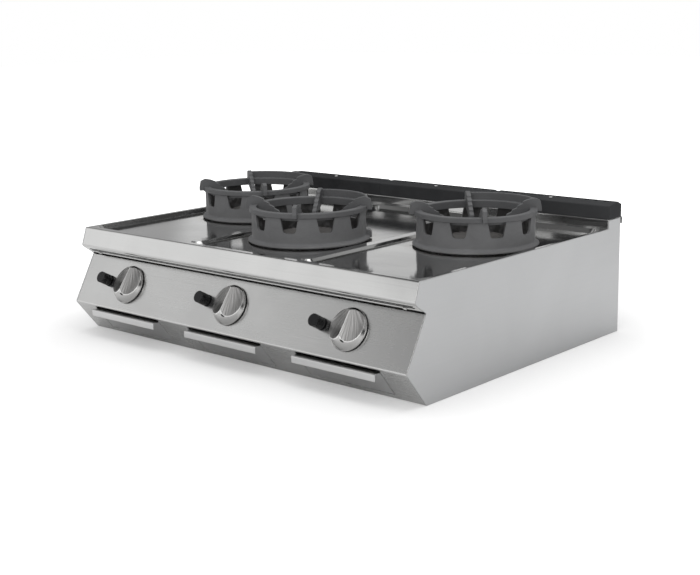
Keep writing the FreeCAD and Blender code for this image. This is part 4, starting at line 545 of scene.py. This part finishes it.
def nose_gap_shadows():
    """Two black lines in the folded strip under the nose, as painted shadow in its gaps."""
    points = []
    faces = []
    for share in GAP_SHADOW_SHARES:
        y = STRIP_Y + STRIP_BACK * share
        z = STRIP_Z - STRIP_DROP * share
        first = len(points)
        second = first + GAP_SHADOW_STEPS
        for x in (-GAP_SHADOW_END, GAP_SHADOW_END):
            for step in range(GAP_SHADOW_STEPS):
                turn = math.tau * step / GAP_SHADOW_STEPS
                points.append((x, y + GAP_SHADOW_RADIUS * math.cos(turn), z + GAP_SHADOW_RADIUS * math.sin(turn)))
        faces += band(first, GAP_SHADOW_STEPS)
        faces.append(tuple(range(second - 1, first - 1, -1)))
        faces.append(tuple(range(second, second + GAP_SHADOW_STEPS)))
    # Black lines standing for the shadow in the gaps under the nose.
    piece("nose_gap_shadows", "casing", points, faces, black)


for station, (x, _) in zip(STATIONS, BURNERS):
    knob_mark(station, x)
nose_gap_shadows()


# ---------------------------------------------------------------- studio

WHITE = (1, 1, 1, 1)
FLOOR_HALF = 12
FLOOR_GAP = 0.0005
FLOOR_GREY = (0.8, 0.8, 0.8)
FLOOR_MIRRORED = (0.56, 0.56, 0.56)
EVEN_LIGHT = 0.75
ROOM_LEAST = 0.06


def add_floor():
    """A pale floor that keeps the range's shadow, turns pure white further out and is dimmer in mirrors."""
    mesh = bpy.data.meshes.new("floor")
    shape = bmesh.new()
    bmesh.ops.create_grid(shape, x_segments=1, y_segments=1, size=FLOOR_HALF)
    shape.to_mesh(mesh)
    shape.free()
    floor = bpy.data.objects.new("floor", mesh)
    floor.location.z = -FLOOR_GAP
    bpy.context.scene.collection.objects.link(floor)
    paint = Paint("floor", FLOOR_GREY, 0.9)
    paint.put("Specular IOR Level", 0.0)
    place = paint.split()
    reach = paint.reach(place["X"], place["Y"])
    glow = paint.span(reach, 0.2, 1.0, start=0.6, end=1.7)
    ray = paint.node("ShaderNodeLightPath")
    mirrored = paint.larger(ray.outputs["Is Glossy Ray"], ray.outputs["Is Transmission Ray"])
    direct = paint.times(glow, ray.outputs["Is Camera Ray"])
    dim = paint.times(paint.span(reach, 0.0, 0.34, start=0.42, end=0.85), mirrored)
    paint.tint(mirrored, FLOOR_GREY, FLOOR_MIRRORED)
    paint.put("Emission Color", WHITE)
    paint.link(paint.larger(direct, dim), paint.shader.inputs["Emission Strength"])
    mesh.materials.append(paint.material)


def add_world():
    """Even soft light for matt surfaces, a room for mirrors, and plain white for the camera.

    The room is told apart by direction alone: a backdrop behind the range with a dimmer band higher up, a bench
    and two walls in front, and a ceiling.
    """
    world = bpy.data.worlds.new("studio")
    bpy.context.scene.world = world
    world.use_nodes = True
    room = Nodes(world.node_tree)
    look = room.split("Generated")

    def ramp(axis, start, end, low=0.0, high=1.0):
        """A soft step along one axis of the direction."""
        return room.span(look[axis], low, high, start, end, interpolation_type="SMOOTHSTEP")

    backdrop = room.times(ramp("Y", -0.1, 0.2), ramp("Z", 0.2, 0.26, 1.0, 0.0),
                          ramp("X", -0.757, -0.742, 0.36, 0.7))
    walls = room.larger(ramp("X", -0.61, -0.67, 0.1, 0.8), ramp("X", -0.42, -0.3, 0.0, 0.5))
    bench = ramp("Z", 0.36, 0.28)
    front = room.times(room.larger(walls, bench), ramp("Y", -0.2, -0.4))
    ceiling = ramp("Z", 0.8, 0.96, 0.0, 0.7)
    higher = room.times(ramp("Z", 0.3, 0.4, 0.0, 0.4), ramp("Z", 0.6, 0.68, 1.0, 0.0), ramp("Y", -0.2, 0.0))
    mirrored = room.add(backdrop, room.larger(room.add(ceiling, higher), front), ROOM_LEAST)

    ray = room.node("ShaderNodeLightPath")
    camera = ray.outputs["Is Camera Ray"]
    sharp = room.larger(camera, ray.outputs["Is Glossy Ray"], ray.outputs["Is Transmission Ray"])
    even = room.tree.nodes["Background"]
    studio = room.node("ShaderNodeBackground")
    for background, strength in ((even, EVEN_LIGHT), (studio, room.larger(mirrored, camera))):
        background.inputs["Color"].default_value = WHITE
        room.feed(strength, background.inputs["Strength"])
    mix = room.node("ShaderNodeMixShader")
    room.link(sharp, mix.inputs["Fac"])
    room.link(even.outputs["Background"], mix.inputs[1])
    room.link(studio.outputs["Background"], mix.inputs[2])
    room.link(mix.outputs["Shader"], room.tree.nodes["World Output"].inputs["Surface"])


def add_lamp(name, place, target, width, height, radiance):
    """A softbox; its power follows from how bright its face is."""
    data = bpy.data.lights.new(name, "AREA")
    data.shape = "RECTANGLE"
    data.size = width
    data.size_y = height
    data.energy = radiance * math.pi * width * height
    lamp = bpy.data.objects.new(name, data)
    lamp.location = place
    aim = Vector(target) - Vector(place)
    lamp.rotation_euler = aim.to_track_quat("-Z", "Y").to_euler()
    bpy.context.scene.collection.objects.link(lamp)


add_floor()
add_world()
add_lamp("camera_side", place=(1.5, -2.6, 1.6), target=(0, 0, 0.1), width=1.6, height=1.2, radiance=2.2)
add_lamp("top", place=(0.3, 0.1, 2.4), target=(0, 0, 0), width=2.2, height=2.2, radiance=1.5)
bpy.context.scene.view_settings.view_transform = "Standard"
